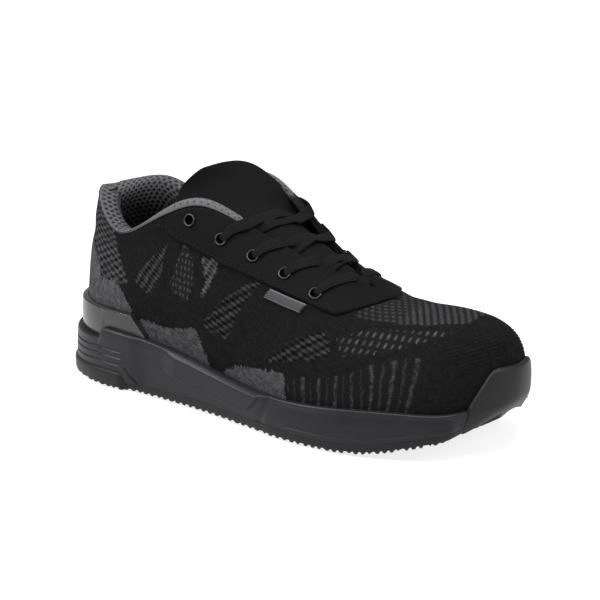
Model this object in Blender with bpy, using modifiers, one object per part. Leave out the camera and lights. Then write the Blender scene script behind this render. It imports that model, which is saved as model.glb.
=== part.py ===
"""Knit safety trainer for the right foot, an assembly of separate solids.

Metres, +Z up, +X to the toe, -Y to the outer (lateral) side. The shoe stands on Z = 0.
The tables are in millimetres and are scaled by MM where they are read.
"""

from collections import namedtuple

import bmesh
import bpy
import numpy as np

MM = 0.001
GAP = 0.3  # clearance between neighbouring pieces
MIDDLE = np.array([-1.55, 1.1, 0.0])  # the origin: the middle of the shoe as the tables measure it

# Thicknesses, in millimetres
UPPER_WALL = 2.0
INSOLE_THICK = 4.5
LIP_THICK = 2.6
CLIP_THICK = 2.0
EYESTAY_THICK = 1.4
EYESTAY_GAP = 0.5
TAB_THICK = 1.2
LACE_WIDTH = 7.0
LACE_THICK = 1.3

# Mesh density: sections for each side of the shoe, and points up the wall
EVEN_SECTIONS = 29
WALL_STEPS = 10

# Sections through the last from heel to toe. foot: the edge where the wall meets the footbed,
# with its lateral and medial reach. rim: the top edge, as the middle and half width of the opening;
# a half width of 0 is the closed ridge over the toes. rise: how much higher the medial rim is.
Last = namedtuple("Last", "foot_x lateral medial foot_z rim_x rim_mid rim_half rim_z rise")
LAST = {
    "heel_back": Last(-143.5, 0, 0, 26, -141.5, 0, 0, 104, 0),
    "heel_turn": Last(-132, 25, 24, 26, -135, 0, 13.5, 99.5, 6),
    "heel": Last(-107, 35.5, 34, 25.5, -112, 0, 25.5, 89, 21),
    "seat": Last(-77, 37, 34.5, 25, -88, 0, 30, 93.5, 9),
    "waist": Last(-44, 38.5, 32.5, 22.5, -63, 0, 30.5, 110, 2.5),
    "arch": Last(-14, 41.5, 33.5, 19.5, -40, 0.5, 27, 116, 4),
    "instep": Last(14, 45.5, 38.5, 17, -14, 1, 22, 107, 6),
    "ball_rear": Last(40, 48, 44.5, 15.5, 12, 1.5, 18, 96.5, -1),
    "ball": Last(65, 46.5, 49, 15, 36, 2, 13, 87, -2),
    "vamp": Last(88, 41, 50, 15.5, 58, 3, 0, 78.6, 0),
    "toe_side": Last(110, 32.5, 47, 18, 82, 4, 0, 73.4, 0),
    "toe_turn": Last(129, 19, 39.5, 22.5, 99, 5.5, 0, 73.6, 0),
    "toe_tip": Last(143.45, -9, 9, 28.5, 112, 6.5, 0, 73, 0),
}

# Fullness of the wall at the same sections: how far the curve leaves the foot edge and the rim,
# outwards and upwards.
Fullness = namedtuple("Fullness", "low_out low_up high_out high_up")
FULLNESS = {
    "heel_back": Fullness(1.5, 24, 1, -16),
    "heel_turn": Fullness(1.2, 24, 1.2, -14),
    "heel": Fullness(3, 20, 2.5, -16),
    "seat": Fullness(3, 21, 3, -17),
    "waist": Fullness(2.5, 28, 5, -24),
    "arch": Fullness(2.5, 32, 9, -22),
    "instep": Fullness(2, 33, 12, -16),
    "ball_rear": Fullness(2, 33, 15, -12),
    "ball": Fullness(2, 33, 20, -8),
    "vamp": Fullness(2.5, 33, 30, -2),
    "toe_side": Fullness(3, 31, 30, 0),
    "toe_turn": Fullness(4, 30, 32.5, 0.5),
    "toe_tip": Fullness(4.5, 29, 33, 1.5),
}

# The sole at the same sections: its underside, the joint between outsole and midsole, and the
# midsole's top edge.
Sole = namedtuple("Sole", "under joint lip")
SOLE = {
    "heel_back": Sole(2.5, 4.5, 35),
    "heel_turn": Sole(1, 5, 35),
    "heel": Sole(0, 6, 35),
    "seat": Sole(0, 6, 34),
    "waist": Sole(0.8, 7, 30),
    "arch": Sole(0.8, 7, 25.5),
    "instep": Sole(0.2, 6.5, 22.5),
    "ball_rear": Sole(0, 6.5, 22.5),
    "ball": Sole(0, 6.5, 24),
    "vamp": Sole(2, 8.5, 25.5),
    "toe_side": Sole(7.5, 13.5, 26),
    "toe_turn": Sole(15.5, 20, 28),
    "toe_tip": Sole(23, 27.5, 34),
}

# Steps along the sole: the place where each starts and ends, and its size
HEEL_BAND = (2.50, 2.72, 5.0)  # the outsole is this much higher round the heel
HEEL_LEDGE = (1.93, 2.08, 7.0)  # the midsole's top is this much lower round the heel
BUMPER = (11.02, 11.46, 51.0)  # the toe bumper climbs to this height
RECESS = (10.75, 11.0)  # the midsole draws in before the bumper

# The midsole's side from the joint to the top edge: share of the height and reach outwards,
# for the ribbed heel, for the raised side panel and for the forefoot.
Side = namedtuple("Side", "heel_share heel_reach panel_share panel_reach fore_share fore_reach")
SIDE = [
    Side(0.00, 6.6, 0.00, 5.0, 0.00, 6.2),
    Side(0.12, 7.2, 0.24, 5.2, 0.18, 6.2),
    Side(0.22, 5.8, 0.29, 6.8, 0.36, 5.9),
    Side(0.38, 6.9, 0.45, 6.8, 0.52, 5.5),
    Side(0.48, 5.5, 0.62, 6.4, 0.66, 5.0),
    Side(0.64, 6.6, 0.78, 5.6, 0.80, 4.4),
    Side(0.74, 5.2, 0.90, 4.5, 0.90, 3.8),
    Side(0.90, 5.9, 0.97, 3.6, 0.97, 3.3),
    Side(1.00, 5.2, 1.00, 2.9, 1.00, 2.9),
]
PANEL_ZONE = (2.75, 3.15, 6.15, 6.45)  # the side panel fades in and out at these places

# Tread grooves across the underside: first and last place along the shoe, and their pitch
GROOVES = [(-138, -66, 14.4), (6, 118, 14.0)]
GROOVE_WIDTH = 3.6
GROOVE_DEPTH = 2.6

# The heel clip: where it ends, how high it stands, and the slant of its front end
CLIP_END = (2.80, 3.10)
CLIP_TOP = 46.0

# The eyestay's lower edge: the place round the shoe, and how far up the wall it lies
EYESTAY_EDGE = [
    (3.60, 0.915), (3.95, 0.85), (4.30, 0.76), (5.00, 0.68), (5.50, 0.65), (6.50, 0.655),
    (7.60, 0.655), (8.05, 0.638), (8.26, 0.632), (8.54, 0.68), (8.82, 0.75), (9.15, 0.85), (9.48, 1.0),
]
EYESTAY_TOP = [(3.6, 0.932), (4.3, 0.945), (6.4, 0.945), (6.8, 1.0), (9.5, 1.0)]

# Eyelets from the top one to the lowest: place and height up the wall, the same on both sides
EYELETS = [(4.64, 0.885), (5.47, 0.805), (6.23, 0.797), (7.03, 0.785), (7.82, 0.74)]
EYELET_OUTER = 3.5
EYELET_INNER = 1.9
EYELET_HEIGHT = 1.2

# The collar's lining on its way to its end along the throat: padding, depth inside, height over the rim
Lining = namedtuple("Lining", "place pad depth roll")
LINING = [
    Lining(0.0, 9.0, 44.0, 3.4),
    Lining(2.0, 9.0, 40.0, 3.4),
    Lining(3.2, 8.0, 42.0, 3.4),
    Lining(4.1, 2.6, 44.0, 3.2),
    Lining(4.6, 1.4, 40.0, 2.8),
    Lining(5.4, 1.2, 26.0, 1.2),
    Lining(6.3, 1.0, 12.0, 1.0),
]

# The woven tab below the eyestay: its corners as place and height up the wall
TAB = [(6.50, 7.40), (0.572, 0.640), 0.20]

# The tongue from its tucked end to its free top: the crest's place, the half width, how sharply
# the section falls away from the crest, the thickness, and how far the lateral edge lags behind.
Tongue = namedtuple("Tongue", "x z half fall thick skew")
TONGUE = [
    Tongue(64, 70.5, 11, 0.028, 3.0, 0),
    Tongue(50, 77.5, 14, 0.032, 3.5, 0),
    Tongue(37, 86.0, 17.5, 0.032, 4.0, 0),
    Tongue(22, 93.5, 20.5, 0.025, 4.5, 0),
    Tongue(2, 102.0, 21, 0.0205, 5.0, 0),
    Tongue(-15, 110.5, 21, 0.0185, 5.5, 1),
    Tongue(-26, 119.5, 21, 0.0195, 6.0, 4),
    Tongue(-34.5, 128.0, 23, 0.0185, 6.0, 7),
    Tongue(-41.5, 136.0, 30, 0.0155, 5.0, 11),
]

TONGUE_CORNER = 0.06  # how much of the length the top corners lose to their rounding
TONGUE_MIDDLE = 0.5  # the tongue's crest lies this far to the medial side
LACE_SHORT = 5.2  # a strand ends this far short of the throat's far edge

SECTION_COUNT = len(LAST)
LOOP = 2 * (SECTION_COUNT - 1)


def loop_spline(values):
    """A smooth closed curve through values at 0, 1, 2..., as a function of the place along it."""
    values = np.asarray(values, float)
    count = len(values)
    system = 4 * np.eye(count) + np.roll(np.eye(count), 1, 0) + np.roll(np.eye(count), -1, 0)
    slopes = np.linalg.solve(system, 3 * (np.roll(values, -1) - np.roll(values, 1)))

    def at(place):
        place = np.mod(np.asarray(place, float), count)
        low = np.floor(place).astype(int) % count
        high = (low + 1) % count
        t = place - np.floor(place)
        start = (1 + 2 * t) * (1 - t) ** 2 * values[low] + t * (1 - t) ** 2 * slopes[low]
        end = t**2 * (3 - 2 * t) * values[high] + t**2 * (t - 1) * slopes[high]
        return start + end

    return at


def around(table, column):
    """One column as a curve round the shoe: heel, lateral side, toe, medial side, back to the heel."""
    there = [getattr(row, column) for row in table.values()]
    return loop_spline(there + there[-2:0:-1])


def sided(lateral, medial):
    """Two columns as one curve round the shoe, lateral reach to -Y and medial reach to +Y."""
    out = [-getattr(row, lateral) for row in LAST.values()]
    back = [getattr(row, medial) for row in LAST.values()]
    return loop_spline(out + back[-2:0:-1])


FOOT_X = around(LAST, "foot_x")
FOOT_Y = sided("lateral", "medial")
FOOT_Z = around(LAST, "foot_z")
RIM_X = around(LAST, "rim_x")
RIM_MID = around(LAST, "rim_mid")
RIM_HALF = around(LAST, "rim_half")
RIM_Z = around(LAST, "rim_z")
RISE = around(LAST, "rise")
LOW_OUT = around(FULLNESS, "low_out")
LOW_UP = around(FULLNESS, "low_up")
HIGH_OUT = around(FULLNESS, "high_out")
HIGH_UP = around(FULLNESS, "high_up")
UNDER = around(SOLE, "under")
JOINT = around(SOLE, "joint")
LIP = around(SOLE, "lip")

TOE = SECTION_COUNT - 1  # the toe tip's place on the loop; the heel back is at 0
THROAT_END = list(LAST).index("vamp")


def outward(place):
    """Level direction out of the shoe at a place round its foot edge."""
    step = 1e-3
    run_x = FOOT_X(place + step) - FOOT_X(place - step)
    run_y = FOOT_Y(place + step) - FOOT_Y(place - step)
    length = np.hypot(run_x, run_y)
    return np.stack([run_y / length, -run_x / length, np.zeros_like(run_x)], -1)


def foot(place):
    return np.stack([FOOT_X(place), FOOT_Y(place), FOOT_Z(place)], -1)


def rim(place):
    place = np.asarray(place, float)
    open_throat = np.abs(np.mod(place, LOOP) - TOE) > TOE - THROAT_END
    half = np.where(open_throat, np.maximum(RIM_HALF(place), 0), 0)
    medial = np.mod(place, LOOP) > TOE
    side = np.where(medial, 1.0, -1.0)
    rise = np.where(medial, RISE(place) * np.clip(half / 10, 0, 1), 0)
    return np.stack([RIM_X(place), RIM_MID(place) + side * half, RIM_Z(place) + rise], -1)


def wall(place, up):
    """A point of the upper's outer face: place round the shoe, up from the foot edge (0) to the rim (1)."""
    place, up = np.broadcast_arrays(np.asarray(place, float), np.asarray(up, float))
    start, end, out = foot(place), rim(place), outward(place)
    sky = np.array([0.0, 0.0, 1.0])
    low = start + out * LOW_OUT(place)[..., None] + sky * LOW_UP(place)[..., None]
    high = end + out * HIGH_OUT(place)[..., None] + sky * HIGH_UP(place)[..., None]
    t = up[..., None]
    return (1 - t) ** 3 * start + 3 * t * (1 - t) ** 2 * low + 3 * t**2 * (1 - t) * high + t**3 * end


def wall_out(place, up):
    """The outer face's normal."""
    step = 1e-3
    up_low, up_high = np.clip(np.asarray(up) - step, 0, 1), np.clip(np.asarray(up) + step, 0, 1)
    along = wall(np.asarray(place) + step, up) - wall(np.asarray(place) - step, up)
    rising = wall(place, up_high) - wall(place, up_low)
    normal = np.cross(along, rising)
    return normal / np.maximum(np.linalg.norm(normal, axis=-1, keepdims=True), 1e-9)


def up_at_height(place, height):
    """How far up the wall it reaches a height above the floor."""
    steps = np.linspace(0, 1, 60)
    heights = wall(np.full_like(steps, place), steps)[:, 2]
    return float(np.interp(height, heights, steps))


def step_between(value, start, end):
    """0 before start, 1 after end, smooth between."""
    t = np.clip((np.asarray(value, float) - start) / (end - start), 0, 1)
    return t * t * (3 - 2 * t)


def from_heel(place):
    """Places on the medial side as the matching place on the lateral side."""
    place = np.mod(place, LOOP)
    return np.minimum(place, LOOP - place)


def under_at(place):
    return np.maximum(UNDER(place), 0)


def joint_at(place):
    start, end, size = HEEL_BAND
    return JOINT(place) + size * (1 - step_between(from_heel(place), start, end))


def lip_at(place):
    start, end, size = HEEL_LEDGE
    return LIP(place) - size * (1 - step_between(from_heel(place), start, end))


def sections():
    """Places round the whole shoe, the same on both sides, closer where the sole steps."""
    even = np.linspace(0, TOE, EVEN_SECTIONS)
    marks = [*HEEL_BAND[:2], *HEEL_LEDGE[:2], BUMPER[0], 11.18, 11.3, BUMPER[1], *RECESS]
    side = [p for p in even if min(abs(p - m) for m in marks) > 0.12]
    side = np.array(sorted(side + marks))
    return np.concatenate([side, LOOP - side[-2:0:-1]])


def clear_scene():
    for old in list(bpy.data.objects):
        bpy.data.objects.remove(old)


def material(name, colour, roughness, metallic=0.0):
    made = bpy.data.materials.new(name)
    made.use_nodes = True
    shader = made.node_tree.nodes["Principled BSDF"]
    shader.inputs["Base Color"].default_value = (*colour, 1)
    shader.inputs["Roughness"].default_value = roughness
    shader.inputs["Metallic"].default_value = metallic
    return made


def piece(name, mesh, finish, collection):
    for polygon in mesh.polygons:
        polygon.use_smooth = True
    mesh.set_sharp_from_angle(angle=np.radians(35))
    mesh.materials.append(finish)
    made = bpy.data.objects.new(name, mesh)
    collection.objects.link(made)
    return made


def mesh_from(name, build, sheet=False):
    """A mesh from a builder. A sheet is open and is turned to face out of the shoe."""
    shape = bmesh.new()
    build(shape)
    bmesh.ops.remove_doubles(shape, verts=shape.verts, dist=1e-6)
    if sheet:
        bmesh.ops.reverse_faces(shape, faces=shape.faces)
    else:
        bmesh.ops.recalc_face_normals(shape, faces=shape.faces)
        bmesh.ops.triangulate(shape, faces=shape.faces)
    mesh = bpy.data.meshes.new(name)
    shape.to_mesh(mesh)
    shape.free()
    return mesh


def add_grid(shape, points, closed_rows=False, closed_columns=False):
    """Joins a grid of points (rows, columns, xyz in millimetres) with four-sided faces."""
    rows, columns = points.shape[:2]
    made = [[shape.verts.new((p - MIDDLE) * MM) for p in row] for row in points]
    for i in range(rows if closed_rows else rows - 1):
        for j in range(columns if closed_columns else columns - 1):
            a, b = made[i], made[(i + 1) % rows]
            shape.faces.new([a[j], a[(j + 1) % columns], b[(j + 1) % columns], b[j]])
    return made


def bridge(shape, lateral, medial):
    """Closes a ring with cross strips between its lateral and its medial points."""
    for i in range(len(lateral) - 1):
        first = [lateral[i], lateral[i + 1], medial[i + 1]]
        second = [lateral[i], medial[i + 1], medial[i]]
        for corners in (first, second):
            if len(set(corners)) == 3:
                shape.faces.new(corners)


def ring_solid(name, rings):
    """A closed solid through rings of points, the first and the last ring bridged across."""

    def build(shape):
        made = add_grid(shape, np.array(rings), closed_columns=True)
        for ring in (made[0], made[-1]):
            side = len(ring) // 2
            lateral = ring[: side + 1]
            medial = [ring[0]] + ring[: side - 1 : -1]
            bridge(shape, lateral, medial)

    return mesh_from(name, build)


def upper_mesh():
    places = sections()
    ups = np.linspace(0, 1, WALL_STEPS)
    grid = wall(places[:, None], ups[None, :])
    return mesh_from("upper", lambda shape: add_grid(shape, grid, closed_rows=True), sheet=True)


def level(points, heights):
    """The same points at other heights."""
    moved = np.array(points)
    moved[:, 2] = heights
    return moved


def side_base(places, heights):
    """The face that the sole's side is measured from: the upper's wall, or the foot edge below it."""
    ups = np.array([up_at_height(p, z) for p, z in zip(places, heights)])
    return level(wall(places, ups), heights)


def side_ring(places, heights, reach):
    return side_base(places, heights) + outward(places) * np.broadcast_to(reach, places.shape)[:, None]


def midsole_mesh():
    places = sections()
    near = from_heel(places)
    joint, lip = joint_at(places) + GAP, lip_at(places)
    panel = step_between(near, *PANEL_ZONE[:2])
    fore = step_between(near, *PANEL_ZONE[2:])
    drawn_in = step_between(near, *RECESS)
    rings = [side_ring(places, joint, LIP_THICK)]
    for row in SIDE:
        share = row.heel_share + panel * (row.panel_share - row.heel_share)
        share = share + fore * (row.fore_share - share)
        reach = row.heel_reach + panel * (row.panel_reach - row.heel_reach)
        reach = reach + fore * (row.fore_reach - reach)
        reach = reach + drawn_in * (GAP + LIP_THICK - reach)
        rings.append(side_ring(places, joint + (lip - joint) * share, reach))
    ups = np.array([up_at_height(p, z) for p, z in zip(places, lip)])
    for share in (1.0, 0.5, 0.0):
        rings.append(wall(places, ups * share) + wall_out(places, ups * share) * GAP)
    rings[-1][:, 2] -= GAP
    return ring_solid("midsole", rings)


def outsole_mesh():
    places = sections()
    near = from_heel(places)
    under, joint, lip = under_at(places), joint_at(places), lip_at(places)
    climb = step_between(near, *BUMPER[:2])
    heel = 1 - step_between(near, *HEEL_BAND[:2])
    top = joint + climb * (BUMPER[2] - joint)
    raised = climb > 0
    covers = top > lip + 2.5
    edge = 6.2 + 1.4 * heel - 2.2 * climb
    behind = 2 * GAP + LIP_THICK

    def ring(heights, flat, climbing, covering):
        reach = np.where(covers, covering, np.where(raised, climbing, edge - flat))
        return side_ring(places, heights, reach)

    shelf = np.where(covers, lip + GAP, np.where(raised, top - 0.4, joint))
    rings = [
        side_ring(places, under, 2.0),
        side_ring(places, under + 0.6, edge - 1.2),
        side_ring(places, under + 2.2, edge),
        ring(joint, 0.0, edge, edge),
        ring(joint + (top - joint) * 0.55, 0.3, edge - 0.2, edge - 0.9),
        ring(top, 0.6, edge - 0.6, 2.6),
        ring(top, 0.9, behind + 0.2, 0.6),
        ring((top + shelf) / 2, 1.3, behind, 0.7),
        ring(shelf, 1.7, behind, 0.6),
        ring(shelf, 2.1, behind, behind),
        ring(joint, 2.5, behind, behind),
        side_ring(places, joint, LIP_THICK),
    ]
    return ring_solid("outsole", rings)


def groove_mesh():
    """All the tread grooves as boxes, to be cut from the outsole."""
    side = np.linspace(0, TOE, 200)

    def build(shape):
        for first, last, pitch in GROOVES:
            for x in np.arange(first, last + 1, pitch):
                top = np.interp(x, FOOT_X(side), under_at(side)) + GROOVE_DEPTH
                low, half = -4.0, GROOVE_WIDTH / 2
                ring = [(x - half, low), (x + half, low), (x + half * 0.7, top), (x - half * 0.7, top)]
                ends = [[(a, y, b) for a, b in ring] for y in (-70.0, 70.0)]
                made = add_grid(shape, np.array(ends), closed_columns=True)
                shape.faces.new(made[0])
                shape.faces.new(made[1])

    return mesh_from("tread_grooves", build)


def insole_mesh():
    places = sections()
    edge = foot(places)
    out = outward(places)
    rings = [
        level(edge - out * (UPPER_WALL + 2 * GAP), edge[:, 2]),
        level(edge - out * (UPPER_WALL + 2 * GAP), edge[:, 2] + INSOLE_THICK),
    ]
    return ring_solid("insole", rings)


def border(made):
    """The points round the edge of a grid."""
    last = [row[-1] for row in made[1:]]
    first = [row[0] for row in made[-2:0:-1]]
    return made[0] + last + made[-1][-2::-1] + first


def patch_solid(name, grid, normals, start, thick):
    """A closed sheet over a grid of points, from start to start + thick out along the normals."""
    inner, outer = grid + normals * start, grid + normals * (start + thick)

    def build(shape):
        edge_low = border(add_grid(shape, inner))
        edge_high = border(add_grid(shape, outer))
        count = len(edge_low)
        for i in range(count):
            k = (i + 1) % count
            shape.faces.new([edge_low[i], edge_low[k], edge_high[k], edge_high[i]])

    return mesh_from(name, build)


def heel_clip_mesh():
    start, end = CLIP_END
    marks = [*HEEL_LEDGE[:2], 2.4, 2.7, start, 2.95, end]
    side = np.concatenate([np.linspace(0, 1.8, 7), marks])
    places = np.concatenate([-side[:0:-1], side])
    shares = np.linspace(0, 1, 3)
    grid, normals = [], []
    for place in places:
        low = lip_at(place) + GAP
        slant = np.clip((abs(place) - start) / (end - start), 0, 1)
        high = CLIP_TOP + slant * (low + 1.2 - CLIP_TOP)
        ups = np.array([up_at_height(place, low + (high - low) * t) for t in shares])
        grid.append(wall(np.full_like(ups, place), ups))
        normals.append(wall_out(np.full_like(ups, place), ups))
    return patch_solid("heel_clip", np.array(grid), np.array(normals), GAP + 0.15, CLIP_THICK)


def table_at(rows, value):
    rows = np.array(rows)
    return np.interp(value, rows[:, 0], rows[:, 1])


def eyestay_mesh():
    behind = [3.6, 3.95, 4.3, 4.65, 5.0, 5.5, 6.0, 6.4, 6.8, 7.2, 7.6]
    corner = [8.05, 8.26, 8.54, 8.82, THROAT_END, 9.15, 9.3, 9.48]
    side = np.array(behind + corner)
    shares = np.linspace(0, 1, 5)
    low, high = table_at(EYESTAY_EDGE, side), table_at(EYESTAY_TOP, side)
    ups = low[:, None] + (high - low)[:, None] * shares
    lateral, medial = side[:, None], LOOP - side[:, None]
    out_lateral, out_medial = wall_out(lateral, ups), wall_out(medial, ups)
    ridge = side >= THROAT_END
    shared = out_lateral[ridge, -1] + out_medial[ridge, -1]
    shared /= np.linalg.norm(shared, axis=-1, keepdims=True)
    out_lateral[ridge, -1] = shared
    out_medial[ridge, -1] = shared
    out_lateral[-1] = out_medial[-1] = shared[-1]

    def build(shape):
        add_grid(shape, wall(lateral, ups) + out_lateral * EYESTAY_GAP)
        add_grid(shape, (wall(medial, ups) + out_medial * EYESTAY_GAP)[::-1])

    return mesh_from("eyestay", build, sheet=True)


def lining_mesh():
    table = np.array(LINING)
    side = np.concatenate([np.linspace(0, 4.1, 12), np.linspace(4.6, LINING[-1].place, 5)])
    rings = []
    for place in np.concatenate([-side[:0:-1], side]):
        pad, depth, roll = (np.interp(abs(place), table[:, 0], table[:, k]) for k in (1, 2, 3))
        steps = wall(np.full(40, place), np.linspace(0, 1, 40))
        length = np.linalg.norm(np.diff(steps, axis=0), axis=1).sum()
        top = wall(place, 1.0)
        rising = top - wall(place, 0.985)
        rising /= np.linalg.norm(rising)
        inner = UPPER_WALL + 0.8 + pad
        back = UPPER_WALL + 0.9
        outside = [(4.5, GAP + 0.15), (4.5, GAP + 0.9), (1.0, GAP + 1.2), (-0.5 * roll, 0.9)]
        over = [(-0.95 * roll, -0.25 * inner), (-roll, -0.6 * inner), (-0.4 * roll, -0.93 * inner)]
        inside = [(5.0, -inner), (0.4 * depth, -0.97 * inner), (0.75 * depth, -back - 0.5 * pad)]
        end = [(depth, -back - 0.7), (depth, -back)]
        behind = [(0.5 * depth, -back), (-2 * GAP, -back), (-2 * GAP, GAP + 0.15)]
        ring = []
        for down, out in outside + over + inside + end + behind:
            up = 1 - max(down, 0) / length
            spot = wall(place, up) + rising * max(-down, 0)
            ring.append(spot + wall_out(place, min(up, 0.995)) * out)
        rings.append(ring)

    def build(shape):
        made = add_grid(shape, np.array(rings), closed_columns=True)
        for ring in (made[0], made[-1]):
            shape.faces.new(ring)

    return mesh_from("collar_lining", build)


def eyelet_mesh(name, place, up):
    normal = wall_out(place, up)
    centre = wall(place, up) + normal * (EYESTAY_GAP + EYESTAY_THICK + GAP)
    along = wall(place + 0.01, up) - wall(place - 0.01, up)
    along -= normal * along.dot(normal)
    along /= np.linalg.norm(along)
    across = np.cross(normal, along)
    crown = [(EYELET_OUTER - 0.6, EYELET_HEIGHT), (EYELET_INNER + 0.3, EYELET_HEIGHT)]
    profile = [(EYELET_OUTER, 0), *crown, (EYELET_INNER, 0)]
    rings = []
    for turn in np.linspace(0, 2 * np.pi, 10, endpoint=False):
        spoke = np.cos(turn) * along + np.sin(turn) * across
        rings.append([centre + spoke * radius + normal * height for radius, height in profile])
    rings = np.array(rings)
    return mesh_from(name, lambda shape: add_grid(shape, rings, closed_rows=True, closed_columns=True))


def tab_mesh():
    (start, end), (low, high), slant = TAB
    grid, normals = [], []
    for place in np.linspace(start, end, 5):
        ups = np.linspace(low, high, 3)
        shift = np.linspace(0, slant, 3)
        grid.append(wall(place + shift, ups))
        normals.append(wall_out(place + shift, ups))
    return patch_solid("label_tab", np.array(grid), np.array(normals), GAP, TAB_THICK)


def open_spline(values):
    """A smooth open curve through values at 0, 1, 2..., as a function of the place along it."""
    values = np.asarray(values, float)
    slopes = np.gradient(values)

    def at(place):
        place = np.asarray(place, float)
        low = np.clip(np.floor(place).astype(int), 0, len(values) - 2)
        t = place - low
        start = (1 + 2 * t) * (1 - t) ** 2 * values[low] + t * (1 - t) ** 2 * slopes[low]
        return start + t**2 * (3 - 2 * t) * values[low + 1] + t**2 * (t - 1) * slopes[low + 1]

    return at


TONGUE_CURVE = {name: open_spline([getattr(row, name) for row in TONGUE]) for name in Tongue._fields}


def tongue_face(along, across):
    """A point of the tongue's front and its normal: along from the tucked end, across from -1 to 1."""
    along, across = np.broadcast_arrays(np.asarray(along, float), np.asarray(across, float))
    step = 1e-3
    curve = TONGUE_CURVE
    run_x = curve["x"](along + step) - curve["x"](along - step)
    run_z = curve["z"](along + step) - curve["z"](along - step)
    length = np.hypot(run_x, run_z)
    face = np.stack([run_z / length, np.zeros_like(run_x), -run_x / length], -1)
    offset = across * curve["half"](along)
    fall = curve["fall"](along)
    side = np.array([0.0, 1.0, 0.0])
    crest = np.stack([curve["x"](along), np.full(along.shape, TONGUE_MIDDLE), curve["z"](along)], -1)
    spot = crest + offset[..., None] * side - (fall * offset**2)[..., None] * face
    spot[..., 0] += curve["skew"](along) * across
    normal = face + (2 * fall * offset)[..., None] * side
    return spot, normal / np.linalg.norm(normal, axis=-1, keepdims=True)


def tongue_mesh():
    across = np.linspace(-1, 1, 9)
    share = np.linspace(0, 1, 17)[:, None]
    along = (share - TONGUE_CORNER * share**6 * np.abs(across) ** 3) * (len(TONGUE) - 1)
    front, normal = tongue_face(along, across[None, :])
    depth = TONGUE_CURVE["thick"](along) * (1 - 0.75 * across**4)
    back = front - normal * depth[..., None]
    ring = np.concatenate([front, back[:, ::-1]], axis=1)
    half = len(across)

    def build(shape):
        made = add_grid(shape, ring, closed_columns=True)
        for row in (made[0], made[-1]):
            bridge(shape, row[:half], row[: half - 1 : -1])

    return mesh_from("tongue", build)


def along_tongue(x):
    places = np.linspace(0, len(TONGUE) - 1, 200)
    return np.interp(-x, -TONGUE_CURVE["x"](places), places)


def lace_start(place, up, side):
    """The strand's first points: beside its eyelet, then over the edge of the eyestay."""
    rows = []
    lift = EYESTAY_GAP + EYESTAY_THICK + 0.5 * LACE_THICK + 1.5
    for at, height in ((place, up + 0.058), (place + 0.05, 0.5 * (up + 1.05)), (place + 0.1, 1.0)):
        where = at if side < 0 else LOOP - at
        normal = wall_out(where, height)
        rows.append((wall(where, height) + normal * lift, normal))
    return rows


def lace_band(name, rows, count=13):
    """A flat strand through points with normals."""
    points = [open_spline(column) for column in np.array([r[0] for r in rows]).T]
    normals = [open_spline(column) for column in np.array([r[1] for r in rows]).T]
    places = np.linspace(0, len(rows) - 1, count)
    spots = np.stack([curve(places) for curve in points], -1)
    faces = np.stack([curve(places) for curve in normals], -1)
    run = np.gradient(spots, axis=0)
    faces -= run * (np.sum(faces * run, 1) / np.sum(run * run, 1))[:, None]
    faces /= np.linalg.norm(faces, axis=1, keepdims=True)
    wide = np.cross(faces, run)
    wide /= np.linalg.norm(wide, axis=1, keepdims=True)
    half, flat = 0.5 * LACE_WIDTH, 0.5 * LACE_THICK
    corners = [(-half, -flat), (half, -flat), (half, flat), (-half, flat)]
    ring = np.stack([spots + wide * a + faces * b for a, b in corners], 1)

    def build(shape):
        made = add_grid(shape, ring, closed_columns=True)
        for row in (made[0], made[-1]):
            shape.faces.new(row)

    return mesh_from(name, build)


def lace_strand(name, number, side, middle):
    """From an eyelet over the tongue to just short of the far edge of the throat, one eyelet lower."""
    place, up = EYELETS[number]
    rows = lace_start(place, up, side)
    start_x = float(rows[-1][0][0])
    end_x = float(wall(EYELETS[number + 1][0], 1.0)[0]) - LACE_WIDTH
    throat = np.linspace(4.5, THROAT_END - 0.5, 60)
    end_half = np.interp(end_x, RIM_X(throat), RIM_HALF(throat)) - LACE_SHORT
    reach = float(end_half / TONGUE_CURVE["half"](along_tongue(end_x)))
    over_tongue = [(0.22, -0.46, 6.2), (0.5, 0.0, middle), (0.75, 0.55 * reach, 1.4), (1.0, reach, 1.1)]
    for share, across, lift in over_tongue:
        x = start_x + (end_x - start_x) * share
        spot, normal = tongue_face(along_tongue(x), -side * across)
        rows.append((spot + normal * lift, normal))
    return lace_band(name, rows, 12 if side < 0 else 13)


def lace_bar(name):
    place, up = EYELETS[-1]
    rows = lace_start(place, up, -1)
    x = float(rows[-1][0][0])
    spot, normal = tongue_face(along_tongue(x), 0.0)
    rows.append((spot + normal * 1.6, normal))
    return lace_band(name, rows + lace_start(place, up, 1)[::-1])


def combine(made, other, operation):
    """Joins a second solid to the first or cuts it away, and keeps it as a hidden tool."""
    union = made.modifiers.new(operation.lower(), "BOOLEAN")
    union.operation = operation
    union.solver = "EXACT"
    union.object = other
    other.hide_render = True
    other.display_type = "WIRE"


def shell(made, thick, offset):
    wall_modifier = made.modifiers.new("wall", "SOLIDIFY")
    wall_modifier.thickness = thick * MM
    wall_modifier.offset = offset


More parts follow.
